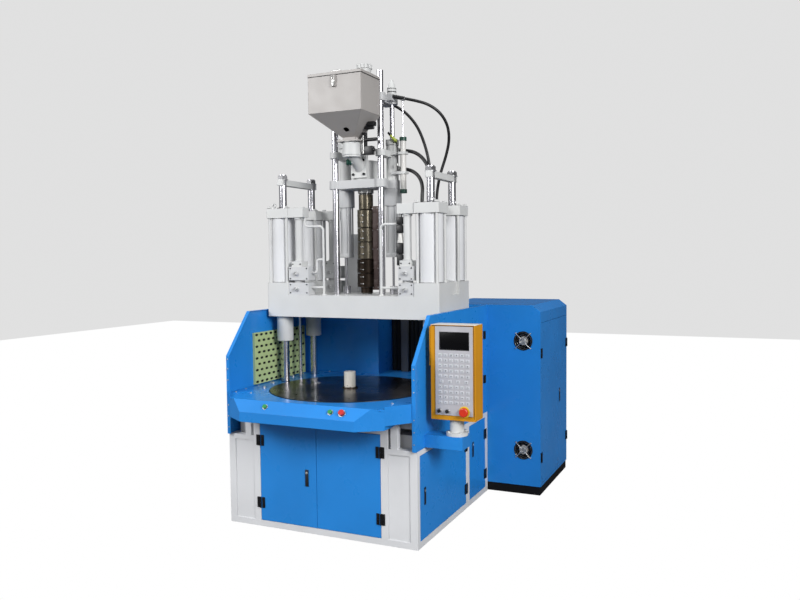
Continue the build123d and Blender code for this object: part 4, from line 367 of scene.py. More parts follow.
def smooth_line(route):
    """Points along the smooth curve that a route in millimetres controls, in metres."""
    curve = bpy.data.curves.new("route", "CURVE")
    curve.dimensions = "3D"
    curve.resolution_u = 14
    spline = curve.splines.new("NURBS")
    spline.points.add(len(route) - 1)
    for point, place in zip(spline.points, route):
        point.co = (*[value * MM for value in place], 1.0)
    spline.order_u = 3
    spline.use_endpoint_u = True
    holder = bpy.data.objects.new("route", curve)
    bpy.context.scene.collection.objects.link(holder)
    line = bpy.data.meshes.new_from_object(holder)
    points = [vertex.co.copy() for vertex in line.vertices]
    bpy.data.objects.remove(holder)
    bpy.data.meshes.remove(line)
    bpy.data.curves.remove(curve)
    return points


# Mesh making

def square_to(along):
    """Two directions that are square to one direction and to each other."""
    side = along.orthogonal().normalized()
    return side, along.cross(side)


def add_loop(shape, centre, side, other, radius, sides, shift=0.0):
    """A loop of points round a centre, turned on by a share of one step."""
    turns = [2 * math.pi * (step + shift) / sides for step in range(sides)]
    return [shape.verts.new(centre + (side * math.cos(a) + other * math.sin(a)) * radius) for a in turns]


def add_skin(shape, loops, closed=False):
    """Faces over a row of loops, which has two end faces or is closed on itself."""
    for first, second in zip(loops, loops[1:] + (loops[:1] if closed else [])):
        for step in range(len(first)):
            after = (step + 1) % len(first)
            shape.faces.new((first[step], first[after], second[after], second[step]))
    if not closed:
        shape.faces.new(loops[0])
        shape.faces.new(list(reversed(loops[-1])))


def add_tube(shape, points, radius, sides):
    """A round tube along a line of points."""
    loops = []
    side = (points[1] - points[0]).orthogonal().normalized()
    for index, point in enumerate(points):
        before = points[max(index - 1, 0)]
        after = points[min(index + 1, len(points) - 1)]
        along = (after - before).normalized()
        side = (side - along * side.dot(along)).normalized()
        loops.append(add_loop(shape, point, side, along.cross(side), radius, sides))
    add_skin(shape, loops)


def finish_piece(name, shape, material, body=None, smooth=True):
    """A piece made from a filled mesh. It rides on a body where one is named."""
    bmesh.ops.recalc_face_normals(shape, faces=shape.faces)
    mesh = bpy.data.meshes.new(name)
    shape.to_mesh(mesh)
    shape.free()
    piece = bpy.data.objects.new(name, mesh)
    bpy.context.scene.collection.objects.link(piece)
    mesh.materials.append(material)
    if smooth:
        mesh.polygons.foreach_set("use_smooth", [True] * len(mesh.polygons))
        mesh.set_sharp_from_angle(angle=math.radians(35))
    if body:
        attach(piece, body)
    return piece


def make_hoses():
    """The four hoses, each a rubber tube along its curved route, in place of its imported node."""
    for node, (route, radius, bodies) in HOSES.items():
        points = smooth_line(route)
        shape = bmesh.new()
        add_tube(shape, points, radius * MM, 24)
        piece = finish_piece(node + "_rubber", shape, MATERIALS["rubber"])
        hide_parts(node)
        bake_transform(piece)


class Form:
    """A mesh in the making, in millimetres. It rides on a body when it is done."""

    def __init__(self):
        self.mesh = bmesh.new()

    def block(self, x0, x1, y0, y1, z0, z1, bevel=0.8):
        """A block with broken edges."""
        low = Vector((min(x0, x1), min(y0, y1), min(z0, z1)))
        size = Vector((abs(x1 - x0), abs(y1 - y0), abs(z1 - z0)))
        corners = bmesh.ops.create_cube(self.mesh, size=1.0)["verts"]
        for corner in corners:
            corner.co = low + Vector(((share + 0.5) * length for share, length in zip(corner.co, size)))
        if bevel:
            edges = list(dict.fromkeys(edge for corner in corners for edge in corner.link_edges))
            bmesh.ops.bevel(self.mesh, geom=edges, offset=min(bevel, min(size) * 0.4), offset_type="OFFSET",
                            segments=2, profile=0.5, affect="EDGES")

    def turned(self, start, end, profile, sides=32, shift=0.5, closed=False):
        """A turned form along an axis, from a profile of radius and distance from the start."""
        start = Vector(start)
        along = (Vector(end) - start).normalized()
        side, other = square_to(along)
        loops = []
        for radius, distance in profile:
            loops.append(add_loop(self.mesh, start + along * distance, side, other, radius, sides, shift))
        add_skin(self.mesh, loops, closed)

    def rod(self, start, end, radius, sides=32, edge=0.8):
        """A round bar with broken ends."""
        length = (Vector(end) - Vector(start)).length
        profile = [(radius - edge, 0), (radius, edge), (radius, length - edge), (radius - edge, length)]
        self.turned(start, end, profile, sides)

    def sleeve(self, start, end, radius, bore, sides=40, edge=0.8):
        """A tube with broken ends, closed on itself."""
        length = (Vector(end) - Vector(start)).length
        profile = [(bore, 0), (radius - edge, 0), (radius, edge),
                   (radius, length - edge), (radius - edge, length), (bore, length)]
        self.turned(start, end, profile, sides, shift=0.0, closed=True)

    def ring(self, centre, axis, radius, wire, sides=40, around=10):
        """A closed ring of round wire."""
        centre = Vector(centre)
        along = Vector(axis).normalized()
        side, other = square_to(along)
        loops = []
        for step in range(sides):
            angle = 2 * math.pi * step / sides
            out = side * math.cos(angle) + other * math.sin(angle)
            loops.append(add_loop(self.mesh, centre + out * radius, out, along, wire, around))
        add_skin(self.mesh, loops, closed=True)

    def wire(self, points, radius, sides=14):
        """A round wire or pipe along points."""
        add_tube(self.mesh, [Vector(point) for point in points], radius, sides)

    def pleats(self, x0, x1, y, depth, step, z0, z1, cloth=3):
        """A pleated curtain that hangs between two ends in X."""
        count = int((x1 - x0) / step)
        front = [(x0 + (x1 - x0) * i / count, y - depth * (i % 2)) for i in range(count + 1)]
        outline = front + [(px, py + cloth) for px, py in reversed(front)]
        low = [self.mesh.verts.new((px, py, z0)) for px, py in outline]
        high = [self.mesh.verts.new((px, py, z1)) for px, py in outline]
        last = len(outline) - 1
        for index in range(len(outline)):
            after = (index + 1) % len(outline)
            self.mesh.faces.new((low[index], low[after], high[after], high[index]))
        for index in range(count):
            for row in (low, high):
                self.mesh.faces.new((row[index], row[index + 1], row[last - index - 1], row[last - index]))

    def bolt(self, start, end, radius):
        """A round bolt head with a socket in it."""
        length = (Vector(end) - Vector(start)).length
        self.turned(start, end, [(radius, 0), (radius, length - 1), (radius - 1, length),
                                 (radius * 0.5, length), (radius * 0.5, length * 0.5)], 20)

    def hexagon(self, start, end, radius):
        """A hexagon head or nut."""
        self.rod(start, end, radius, sides=6, edge=0.6)

    def place(self, matrix):
        """Move the whole form."""
        bmesh.ops.transform(self.mesh, matrix=matrix, verts=self.mesh.verts)
        return self

    def done(self, name, material, body):
        """The finished piece, in metres, in a material and on a body given by their names."""
        bmesh.ops.scale(self.mesh, vec=(MM, MM, MM), verts=self.mesh.verts)
        return finish_piece(name, self.mesh, MATERIALS[material], body)


# Doors: each is drawn closed at the origin, facing minus Y, with the hinge edge at X 0 and the width along X.

MIRROR = Matrix.Scale(-1, 4, (1, 0, 0))
QUARTER = Matrix.Rotation(math.radians(90), 4, "Z")


def front_place(x, flipped):
    """Where a door on the front of the base goes."""
    return Matrix.Translation((x, BASE_FRONT_Y, 0)) @ (MIRROR if flipped else Matrix())


def right_place(face, y, flipped):
    """Where a door on a face that looks along plus X goes."""
    return Matrix.Translation((face, y, 0)) @ QUARTER @ (MIRROR if flipped else Matrix())


FRONT_HINGES = (173, 622)
SIDE_HINGES = (155, 480)
CABINET_HINGES = (303, 1140)
HINGE_HALF_HEIGHT = 38.3
HINGE_FACE_Y = -4.6
KNUCKLE_X = -1.5
LOCK_INSET = 75

# Each door's place, width, hinge heights, lock height where it has one, and the width of the frame's leaf
DOORS = (
    ("front_door_left", front_place(-475, False), 458.5, FRONT_HINGES, 389, 31),
    ("front_door_right", front_place(475, True), 488.5, FRONT_HINGES, None, 31),
    ("side_door_front", right_place(BASE_RIGHT_X, 202, True), 879, SIDE_HINGES, 330, 31),
    ("side_door_rear", right_place(BASE_RIGHT_X, 657, True), 374, SIDE_HINGES, 420, 31),
    ("cabinet_door_front", right_place(CABINET_RIGHT_X, 749, False), 541.5, CABINET_HINGES, None, 16),
    ("cabinet_door_rear", right_place(CABINET_RIGHT_X, 1634, True), 340.5, CABINET_HINGES, 712, 16),
)


def make_hinge_covers(door, place, heights, frame_leaf):
    """Black plates and screws on both leaves of a door's hinges."""
    covers = Form()
    screws = Form()
    fixed = Form()
    fixed_screws = Form()
    # The knuckle covers of the cabinet's doors sit a little further in
    knuckle_y = -5.8 if door.startswith("cabinet") else -6
    head_y = HINGE_FACE_Y - 1
    fixed_x = -frame_leaf * 0.5 - 5
    for z in heights:
        low = z - HINGE_HALF_HEIGHT
        high = z + HINGE_HALF_HEIGHT
        covers.block(8, 31.5, HINGE_FACE_Y, -0.1, low, high)
        covers.sleeve((KNUCKLE_X, knuckle_y, z + 0.4), (KNUCKLE_X, knuckle_y, z + 38.2), 6.2, 3.2, 64, 0.5)
        fixed.block(-frame_leaf - 0.4, -9.5, HINGE_FACE_Y, -0.1, low, high)
        for screw_z in (z - 26, z, z + 26):
            screws.bolt((20, HINGE_FACE_Y, screw_z), (20, head_y, screw_z), 4.2)
            fixed_screws.bolt((fixed_x, HINGE_FACE_Y, screw_z), (fixed_x, head_y, screw_z), 3.2)
    covers.place(place).done(door + "_hinge_plates", "black", door)
    screws.place(place).done(door + "_hinge_screws", "dark_bolt", door)
    fixed.place(place).done(door + "_frame_plates", "black", "frame")
    fixed_screws.place(place).done(door + "_frame_screws", "dark_bolt", "frame")


def make_lock(door, place, x, z):
    """A black lock plate with a steel barrel."""
    lock = Form()
    lock.block(x - 13.4, x + 13.4, -5.5, 0.4, z - 58.9, z + 58.9, 2.0)
    lock.block(x - 8.5, x + 8.5, -7.4, -5.4, z - 50, z + 18, 1.0)
    lock.place(place).done(door + "_lock", "black_plastic", door)
    key = Form()
    key_z = z + 36
    key.turned((x, -5.4, key_z), (x, -8, key_z), [(9, 0), (9, 1.6), (7.6, 2.4), (3, 2.4), (3, 1.2)], 28)
    key.place(place).done(door + "_lock_barrel", "bright", door)


def make_door_fittings():
    """The hinge plates and locks of all doors."""
    for door, place, width, heights, lock_z, frame_leaf in DOORS:
        make_hinge_covers(door, place, heights, frame_leaf)
        if lock_z is not None:
            make_lock(door, place, width - LOCK_INSET, lock_z)


FANS = ("fan_rotor_lower", "fan_rotor_upper")
FAN_GUARD_Y = 720
FAN_GUARD_RINGS = (14, 24, 34, 50, 66)
FAN_GUARD_FOOT = 84


def make_fan_fittings():
    """Bright finger guards, the black rim of each fan and the pale cap on its hub."""
    for rotor in FANS:
        z = middle_of(rotor)[2]
        guard = Form()
        for radius in FAN_GUARD_RINGS:
            guard.ring((FAN_X, FAN_GUARD_Y, z), (0, 1, 0), radius, 1.6)
        for angle in (45, 135, 225, 315):
            dx = math.cos(math.radians(angle))
            dz = math.sin(math.radians(angle))
            spoke = ((17, FAN_GUARD_Y), (67, FAN_GUARD_Y), (FAN_GUARD_FOOT, FAN_GUARD_Y + 5))
            guard.wire([(FAN_X + reach * dx, y, z + reach * dz) for reach, y in spoke], 2.6)
            foot_x = FAN_X + FAN_GUARD_FOOT * dx
            foot_z = z + FAN_GUARD_FOOT * dz
            guard.rod((foot_x, FAN_GUARD_Y + 3, foot_z), (foot_x, FAN_GUARD_Y + 8, foot_z), 6.6, 20)
        guard.done(rotor + "_finger_guard", "bright", "frame")
        rim = Form()
        rim.sleeve((FAN_X, 726.2, z), (FAN_X, 732, z), 77, 66.5, 56)
        rim.done(rotor + "_rim", "black_plastic", "frame")
        hub = Form()
        hub.turned((FAN_X, 740.1, z), (FAN_X, 738.4, z), [(36, 0), (35, 1.2), (30, 1.7), (3, 1.7)], 36)
        hub.done(rotor + "_hub_cap", "satin", rotor)


# The control panel's front, with the left, right, bottom and top of its screen, then its keys and switches
PANEL_Y = -606
SCREEN_EDGES = (856, 1061, 1307.5, 1426.5)
BEZEL_WIDTH = 4
KEYS_LEFT = 842.5
KEYS_WIDTH = 227
KEYS_BOTTOM = 965
KEYS_TOP = 1275
KEY_ROWS = 10
KEY_HALF_WIDTH = 13.3
KEY_HALF_HEIGHT = 10.3
KEY_SWITCH_XS = (854.5, 910.5)

# The strokes of a mark on a key, from the key's middle: left, right, bottom and top
BAR = ((-5, 5, -1.6, 1.2),)
TEE = ((-1.6, 1.6, -5, 5), (-5, 5, 3, 5))
PAIR = ((-4, 4, -4, -2.4), (-4, 4, 2.4, 4))
RING = ()
KEY_MARKS = (BAR, TEE, RING, BAR, PAIR, TEE, PAIR)


def make_keys():
    """Rows of white keys with their marks, some with a green lamp."""
    keys = Form()
    marks = Form()
    lamps = Form()
    for row in range(KEY_ROWS):
        columns = 4 if row == 4 else 6
        z = KEYS_BOTTOM + (KEYS_TOP - KEYS_BOTTOM) / (KEY_ROWS - 1) * row
        for column in range(columns):
            x = KEYS_LEFT + KEYS_WIDTH / columns * (column + 0.5)
            keys.block(x - KEY_HALF_WIDTH, x + KEY_HALF_WIDTH, PANEL_Y - 2.1, PANEL_Y - 0.2,
                       z - KEY_HALF_HEIGHT, z + KEY_HALF_HEIGHT, 1.2)
            strokes = KEY_MARKS[(row * 5 + column * 3) % len(KEY_MARKS)]
            for x0, x1, z0, z1 in strokes:
                marks.block(x + x0, x + x1, PANEL_Y - 2.3, PANEL_Y - 2.0, z + z0, z + z1, 0)
            if strokes == RING:
                marks.ring((x, PANEL_Y - 2.1, z), (0, 1, 0), 4, 0.9, 20, 6)
            if row in (3, 6, 7, 9) and column % 2 == 0:
                lamps.rod((x + 9, PANEL_Y - 2.9, z + 7), (x + 9, PANEL_Y - 1.8, z + 7), 1.8, 12, 0.3)
    keys.done("panel_keys", "key_plastic", "panel")
    marks.done("panel_key_marks", "black_plastic", "panel")
    lamps.done("panel_lamps", "green_plastic", "panel")


def make_panel_fittings():
    """Screen, keys, lamps, key switches and the emergency stop's ring."""
    left, right, low, high = SCREEN_EDGES
    glass = Form()
    glass.block(left + 4.3, right - 4.3, -605.2, -603.0, low + 4.3, high - 4.3, 0.5)
    glass.done("panel_screen", "glass", "panel")
    bezel = Form()
    for x0, x1, z0, z1 in (
        (left, right, low, low + BEZEL_WIDTH),
        (left, right, high - BEZEL_WIDTH, high),
        (left, left + BEZEL_WIDTH, low + 3.5, high - 3.5),
        (right - BEZEL_WIDTH, right, low + 3.5, high - 3.5),
    ):
        bezel.block(x0, x1, PANEL_Y - 0.8, PANEL_Y + 0.2, z0, z1, 0.3)
    bezel.done("panel_screen_bezel", "black_plastic", "panel")
    make_keys()
    knobs = Form()
    collars = Form()
    for x in KEY_SWITCH_XS:
        collars.rod((x, PANEL_Y - 8.4, SWITCH_Z), (x, PANEL_Y, SWITCH_Z), 14.7, 32)
        knobs.rod((x, PANEL_Y - 18.4, SWITCH_Z), (x, PANEL_Y - 8, SWITCH_Z), 10.7, 28)
        knobs.block(x - 3.5, x + 3.5, PANEL_Y - 24.4, PANEL_Y - 18, SWITCH_Z - 10.5, SWITCH_Z + 10.5, 1.2)
    collars.done("key_switch_collars", "zinc", "panel")
    knobs.done("key_switch_knobs", "black_plastic", "panel")
    ring = Form()
    ring.sleeve((E_STOP_X, PANEL_Y - 1.5, SWITCH_Z), (E_STOP_X, PANEL_Y, SWITCH_Z), 38, 13, 48, 0.5)
    ring.done("e_stop_ring", "yellow_plastic", "panel")
    seal = Form()
    seal.block(802, 1092, -601.4, -599.6, 1462.6, 1467.2, 0.4)
    seal.block(1090, 1092.6, -601.2, -599.6, 866, 1462, 0.4)
    seal.done("panel_seal", "black_plastic", "panel")
    top = Form()
    top.block(794, 1100.2, -599.6, -455.6, 1469.6, 1471.4, 0.5)
    top.done("panel_top_plate", "white", "panel")


# Heater bands from the nozzle up: the heights between them, and each band's radius and finish
BAND_EDGES = (1685, 1793, 1900, 2031, 2138, 2276, 2392)
BAND_RADII = (71, 71, 66, 66, 66, 54)
BAND_FINISH = ("burnt", "burnt", "brassy", "brassy", "brassy", "brassy")
BAND_GAP = 2.3
STRAPPED_BANDS = 5
DUCT_LID_ZS = (1720, 1860, 2000, 2140, 2270)
DUCT_SCREW_ZS = (1685, 1830, 1975, 2120, 2285)


def add_strap(skin, bolts, radius, z):
    """A strap round a heater band, with two ears that a bolt draws together."""
    ear_y = SCREW_Y - radius - 8
    skin.sleeve((0, SCREW_Y, z - 6), (0, SCREW_Y, z + 6), radius + 1.8, radius - 1, 56, 0.4)
    for side in SIDES:
        skin.block(side * 5 - 2, side * 5 + 2, SCREW_Y - radius - 14, SCREW_Y - radius, z - 6, z + 6)
    bolts.rod((-13, ear_y, z), (13, ear_y, z), 2.6, 16)
    bolts.hexagon((8, ear_y, z), (13, ear_y, z), 5)


def make_heater_fittings():
    """The heater bands' skins with their rims and straps, the terminal duct's cover and the collars."""
    bolts = Form()
    for index, (low, high, radius) in enumerate(zip(BAND_EDGES, BAND_EDGES[1:], BAND_RADII)):
        skin = Form()
        low_z = low + BAND_GAP
        high_z = high - BAND_GAP
        middle = (low + high) / 2
        skin.sleeve((0, SCREW_Y, low_z), (0, SCREW_Y, high_z), radius + 0.8, radius - 1.5, 56, 0.3)
        for rim_z in (low_z + 2, high_z - 2):
            skin.ring((0, SCREW_Y, rim_z), (0, 0, 1), radius + 0.4, 1.8, 56, 8)
        if index < STRAPPED_BANDS:
            add_strap(skin, bolts, radius, middle - 26)
            add_strap(skin, bolts, radius, middle + 26)
        skin.done(f"heater_band_{index + 1}", BAND_FINISH[index], "carriage")
    bolts.done("heater_band_bolts", "zinc", "carriage")
    duct = Form()
    duct.block(59.5, 112.8, 29.4, 90.6, 1664.6, 2300.4, 1.5)
    for z in DUCT_LID_ZS:
        duct.block(66, 106, 27.6, 29.6, z - 22, z + 22, 0.6)
    duct.done("heater_duct", "duct", "carriage")
    screws = Form()
    for z in DUCT_SCREW_ZS:
        for x in (66, 106):
            screws.bolt((x, 29.5, z), (x, 26.5, z), 3.6)
    screws.done("heater_duct_screws", "zinc", "carriage")
    collars = Form()
    collars.sleeve((0, SCREW_Y, 1641), (0, SCREW_Y, 1684), 46.2, 45.1, 48, 0.3)
    collars.sleeve((0, SCREW_Y, 2395), (0, SCREW_Y, 2429.5), 52, 45.2, 48, 1.5)
    collars.done("barrel_collars", "burnt", "carriage")
    nozzle = Form()
    nozzle.sleeve((0, SCREW_Y, 1515), (0, SCREW_Y, 1590), 21, 15.5, 36)
    nozzle.ring((0, SCREW_Y, 1520), (0, 0, 1), 20.5, 1.5)
    nozzle.done("nozzle_heater", "brassy", "carriage")


ELBOW_ROUTE = (
    (8, -64, 2628), (8, -84, 2626), (6, -106, 2622), (0, -126, 2619), (-10, -140, 2617),
    (-24, -146, 2616),
)
ELBOW_CAP = ((17, 0), (22, 2), (22, 12), (18, 14), (18, 20), (24, 22), (24, 36), (20, 38))


def make_head_fittings():
    """Bolts, the vent elbow and the slide gate on the head that the hopper feeds."""
    bolts = Form()
    for x in (-45, 45):
        for z in (2535, 2640):
            bolts.bolt((x, -72, z), (x, -75, z), 9.4)
            bolts.sleeve((x, -73.6, z), (x, -63.8, z), 9.5, 5, 24, 0.5)
    bolts.done("head_plate_bolts", "dark_bolt", "carriage")
    elbow = Form()
    elbow.sleeve((8, -70, 2628), (8, -63, 2628), 24, 6, 36)
    elbow.wire(ELBOW_ROUTE, 15, 24)
    elbow.done("head_elbow", "bright", "carriage")
    cap = Form()
    cap.turned((-14, -146, 2616), (-52, -158, 2618), ELBOW_CAP, 16)
    cap.done("head_elbow_cap", "teal_plastic", "carriage")
    gate = Form()
    gate.block(90, 116, -178, -148, 2662, 2824, 2)
    gate.rod((112, THROAT_Y, 2770), (204, THROAT_Y, 2770), 13, 24)
    gate.block(110, 176, -186, -140, 2660, 2722, 3)
    gate.rod((174, -164, 2694), (188, -164, 2694), 13, 24)
    gate.block(120, 186, -200, -160, 2842, 2862, 2)
    gate.block(146, 206, -214, -170, 2862, 2892, 2)
    gate.done("hopper_slide_gate", "black_plastic", "carriage")
    pins = Form()
    pins.rod((102, -181, 2668), (102, -181, 2800), 4.5, 16)
    pins.ring((0, THROAT_Y, 2757), (0, 0, 1), 73, 3.2, 56)
    pins.done("throat_clamp", "steel", "carriage")


HOPPER_FRONT = -420
HOPPER_REAR = -122
HOPPER_BEND_Z = 2943
HOPPER_RIM_Z = 3198
LATCH_PIVOT = (-436, 3144)
LATCH_HALF_LOOP = ((9, -436, 3144), (10, -437, 3172), (8, -435, 3186))
GRIP_HALF = ((42, 3220), (42, 3228), (36, 3234))


def make_hopper_fittings():
    """Weld seams, the seal under the lid, the latch and the lid's grip."""
    half = HOPPER_HALF_WIDTH
    seams = Form()
    for side in SIDES:
        x = side * half
        for y_top, y_low in ((HOPPER_FRONT, -213), (HOPPER_REAR, -113)):
            seams.wire([(x, y_top, HOPPER_BEND_Z - 1), (side * 50, y_low, 2791)], 1.6, 8)
        seams.wire([(x, HOPPER_FRONT, HOPPER_BEND_Z), (x, HOPPER_REAR, HOPPER_BEND_Z)], 1.6, 8)
        seams.wire([(x, HOPPER_FRONT, HOPPER_BEND_Z + 1), (x, HOPPER_FRONT, HOPPER_RIM_Z)], 1.4, 8)
    seams.wire([(-half, HOPPER_FRONT, HOPPER_BEND_Z), (half, HOPPER_FRONT, HOPPER_BEND_Z)], 1.6, 8)
    seams.done("hopper_welds", "hopper", "carriage")
    seal = Form()
    low = HOPPER_RIM_Z - 1.5
    high = HOPPER_RIM_Z + 2.6
    seal.block(-half - 1.4, half + 1.4, HOPPER_FRONT - 1.4, HOPPER_FRONT, low, high, 0.3)
    seal.block(half, half + 1.4, HOPPER_FRONT - 1, HOPPER_REAR - 2, low, high, 0.3)
    seal.block(-half - 1.4, -half, HOPPER_FRONT - 1, HOPPER_REAR - 2, low, high, 0.3)
    seal.done("hopper_seal", "black_plastic", "carriage")
    latch = Form()
    latch.block(-13, 13, -435, -431.5, 3128, 3162, 1)
    latch.rod((-13, *LATCH_PIVOT), (13, *LATCH_PIVOT), 4, 16)
    left = [(-x, y, z) for x, y, z in LATCH_HALF_LOOP]
    latch.wire([*left, (0, -434, 3190), *reversed(LATCH_HALF_LOOP)], 2.2, 10)
    latch.block(-8, 8, -440, -435.5, 3118, 3142, 1.5)
    latch.done("hopper_latch", "steel", "carriage")
    grip = Form()
    left = [(-x, -388, z) for x, z in GRIP_HALF]
    right = [(x, -388, z) for x, z in reversed(GRIP_HALF)]
    grip.wire(left + right, 4, 14)
    grip.done("hopper_lid_grip", "bright", "hopper_lid")


SENSOR_LEAD = (
    (262, 40, 2776), (272, 36, 2750), (276, 34, 2720), (277, 34, 2660), (278, 34, 2600),
    (278, 34, 2560),
)
ROD_NUT_Z = 3119
ROD_NUT_POINT = ((34.7, 0), (34.7, 62.5), (31, 72), (11, 125.6), (8, 127.4))


def make_sensor_fittings():
    """The transducer's caps, and the plug and lead beside it."""
    caps = Form()
    for z in (2390, 2777):
        caps.sleeve((SENSOR_X, SENSOR_Y, z - 0.4), (SENSOR_X, SENSOR_Y, z + 28.4), 26.6, 9, 36)
    caps.done("transducer_caps", "teal_plastic", "carriage")
    plug = Form()
    plug.turned((216, 44, 2824), (268, 40, 2772), [(6, 0), (9, 2), (9, 26), (12, 28), (12, 54), (8, 60)], 18)
    plug.block(244, 262, 44, 66, 2770, 2796, 2)
    plug.done("sensor_plug", "lime_plastic", "carriage")
    lead = Form()
    lead.rod((218, 44, 2822), (198, 44, 2846), 9, 16)
    lead.wire(SENSOR_LEAD, 4.5, 10)
    lead.done("sensor_lead", "black_plastic", "carriage")


def make_injection_fittings():
    """Seals and heads on the cylinders, the nuts on the injection rods and the bolts round the motor."""
    make_sensor_fittings()
    seals = Form()
    heads = Form()
    nuts = Form()
    bands = Form()
    y = CYLINDER_Y
    for x in (-CYLINDER_X, CYLINDER_X):
        seals.sleeve((x, y, 2796.6), (x, y, 2801), 24, 18.3, 32, 0.5)
        seals.sleeve((x, y, 2489), (x, y, 2493), 47, 40, 40, 0.5)
        seals.sleeve((x, y, 2752.6), (x, y, 2755.6), 47, 40, 40, 0.5)
        heads.block(x - 52, x + 52, y - 52, y + 52, 2301, 2429.5, 3)
        heads.block(x - 44, x + 44, y - 44, y + 44, 1912, 1944, 3)
        for dx in (-38, 38):
            for dy in (-38, 38):
                heads.rod((x + dx, y + dy, 1930), (x + dx, y + dy, 2310), 6, 16)
        nuts.hexagon((x, y, ROD_NUT_Z), (x, y, ROD_NUT_Z + 18), 41)
        nuts.turned((x, y, ROD_NUT_Z + 0.5), (x, y, ROD_NUT_Z + 126), ROD_NUT_POINT, 40)
        bands.sleeve((x, y, 3150), (x, y, 3157), 35.4, 30, 40, 0.5)
        bands.sleeve((x, y, 3176), (x, y, 3181), 35.3, 30, 40, 0.5)
    seals.done("cylinder_seals", "black_plastic", "carriage")
    heads.done("carriage_cylinder_heads", "shade", "carriage")
    bead = Form()
    bead.turned((278, 26, 2588), (278, 26, 2612), [(3, 0), (9, 4), (11, 12), (9, 20), (3, 24)], 18)
    bead.done("sensor_bead", "bright", "carriage")
    fitting = Form()
    fitting.sleeve((226.7, 29.8, 3110.7), (329, 59.7, 3088.3), 14.8, 11.2, 28)
    fitting.done("hose_1_sleeve", "rubber", "injection")
    nuts.done("rod_nuts", "white", "injection")
    bands.done("rod_nut_bands", "black_plastic", "injection")
    bolts = Form()
    for angle in range(0, 360, 60):
        x = 68 * math.cos(math.radians(angle))
        bolt_y = SCREW_Y + 68 * math.sin(math.radians(angle))
        bolts.hexagon((x, bolt_y, 3141), (x, bolt_y, 3150), 9.6)
    bolts.done("motor_bolts", "zinc", "injection")


CAP_TOP_Z = 2293
STUD_TOP_Z = 2520


def make_clamp_fittings():
    """Socket bolts and eye bolts on the clamp caps, seals on the barrels and washers on the cross bars."""
    bolts = Form()
    eyes = Form()
    seals = Form()
    washers = Form()
    for side in SIDES:
        for y in TIE_YS:
            x = side * TIE_X
            for dx, dy in ((-48, 0), (48, 0), (0, -48), (0, 48)):
                bolts.bolt((x + dx, y + dy, CAP_TOP_Z), (x + dx, y + dy, CAP_TOP_Z + 10), 9)
            for dx in (-75, 75):
                for dy in (-75, 75):
                    bolts.sleeve((x + dx, y + dy, 2292.6), (x + dx, y + dy, 2295.6), 20, 11, 28, 0.5)
            eye_x = x + side * 38
            eye_y = y - 62
            foot = [(9, 0), (9, 3), (6, 5), (6, 10)]
            eyes.turned((eye_x, eye_y, CAP_TOP_Z), (eye_x, eye_y, CAP_TOP_Z + 10), foot, 20)
            eyes.ring((eye_x, eye_y, CAP_TOP_Z + 23), (0, 1, 0), 12, 4, 28)
            seals.sleeve((x, y, 2215), (x, y, 2220.4), 89.6, 78, 56, 0.5)
            seals.sleeve((x, y, 1727), (x, y, 1732), 90.4, 78, 56, 0.5)
            seals.sleeve((x, y, CAP_TOP_Z), (x, y, CAP_TOP_Z + 6), 38, 29.6, 36)
            washers.sleeve((x, y, STUD_TOP_Z - 2.3), (x, y, STUD_TOP_Z), 44, 29.6, 40, 0.4)
    bolts.done("cap_bolts", "dark_bolt", "platen")
    eyes.done("eye_bolts", "zinc", "platen")
    seals.done("barrel_seals", "zinc", "platen")
    washers.done("cross_bar_studs", "zinc", "frame")


OIL_COLUMN_X = 452
BLOCK_YS = (-190, 322)
BLOCK_HALF_DEPTH = 52.5
COIL_HEIGHTS = ((1852, 1930), (1936, 2012), (2084, 2140), (2146, 2198))
CONE = ((24, 0), (24, 14), (20, 18), (20, 24), (17, 60), (16, 68))


def make_valve_fittings():
    """Bolts, plugs and collars on the valve blocks and oil columns, and the valve on one column."""
    bolts = Form()
    collars = Form()
    plugs = Form()
    plug = [(13, 0), (13, 5), (11, 7), (6, 7), (6, 3)]
    for side, inner, outer in ((-1, -345, -517), (1, 400, 517)):
        column_x = side * OIL_COLUMN_X
        for y in BLOCK_YS:
            front = y - BLOCK_HALF_DEPTH
            for z in (1650, 1712, 1757, 1834):
                for x in (inner + side * 14, outer - side * 14):
                    bolts.bolt((x, front, z), (x, front - 4, z), 5)
            for z in (1679, 1795):
                plugs.turned((column_x, front - 13.8, z), (column_x, front - 21, z), plug, 28)
            collars.sleeve((column_x, y, 1728), (column_x, y, 1744), 38, 34.6, 36)
            collars.sleeve((column_x, y, 1888), (column_x, y, 1897), 36, 28.6, 36)
            for x in (column_x - 33, column_x + 33):
                bolts.bolt((x, y - 44, 1867), (x, y - 48, 1867), 5)
    bolts.done("valve_block_bolts", "dark_bolt", "platen")
    collars.done("valve_block_collars", "block", "platen")
    plugs.done("valve_block_plugs", "zinc", "platen")
    coils = Form()
    for low, high in COIL_HEIGHTS:
        coils.block(376, 420, -216, -164, low, high, 5)
    coils.rod((398, -190, 1846), (398, -190, 2200), 15, 24)
    coils.done("column_valve_coils", "black_plastic", "platen")
    cone = Form()
    cone.turned((398, -190, 2014), (398, -190, 2082), CONE, 32)
    cone.done("column_valve_cone", "satin", "platen")


GUARD_FRONT = -740
RIVET_ZS = (700, 780, 860, 1040, 1120, 1190)
DOMED_BOLTS = ((-585, -497), (-651, -286), (-690, -38), (-690, 60))


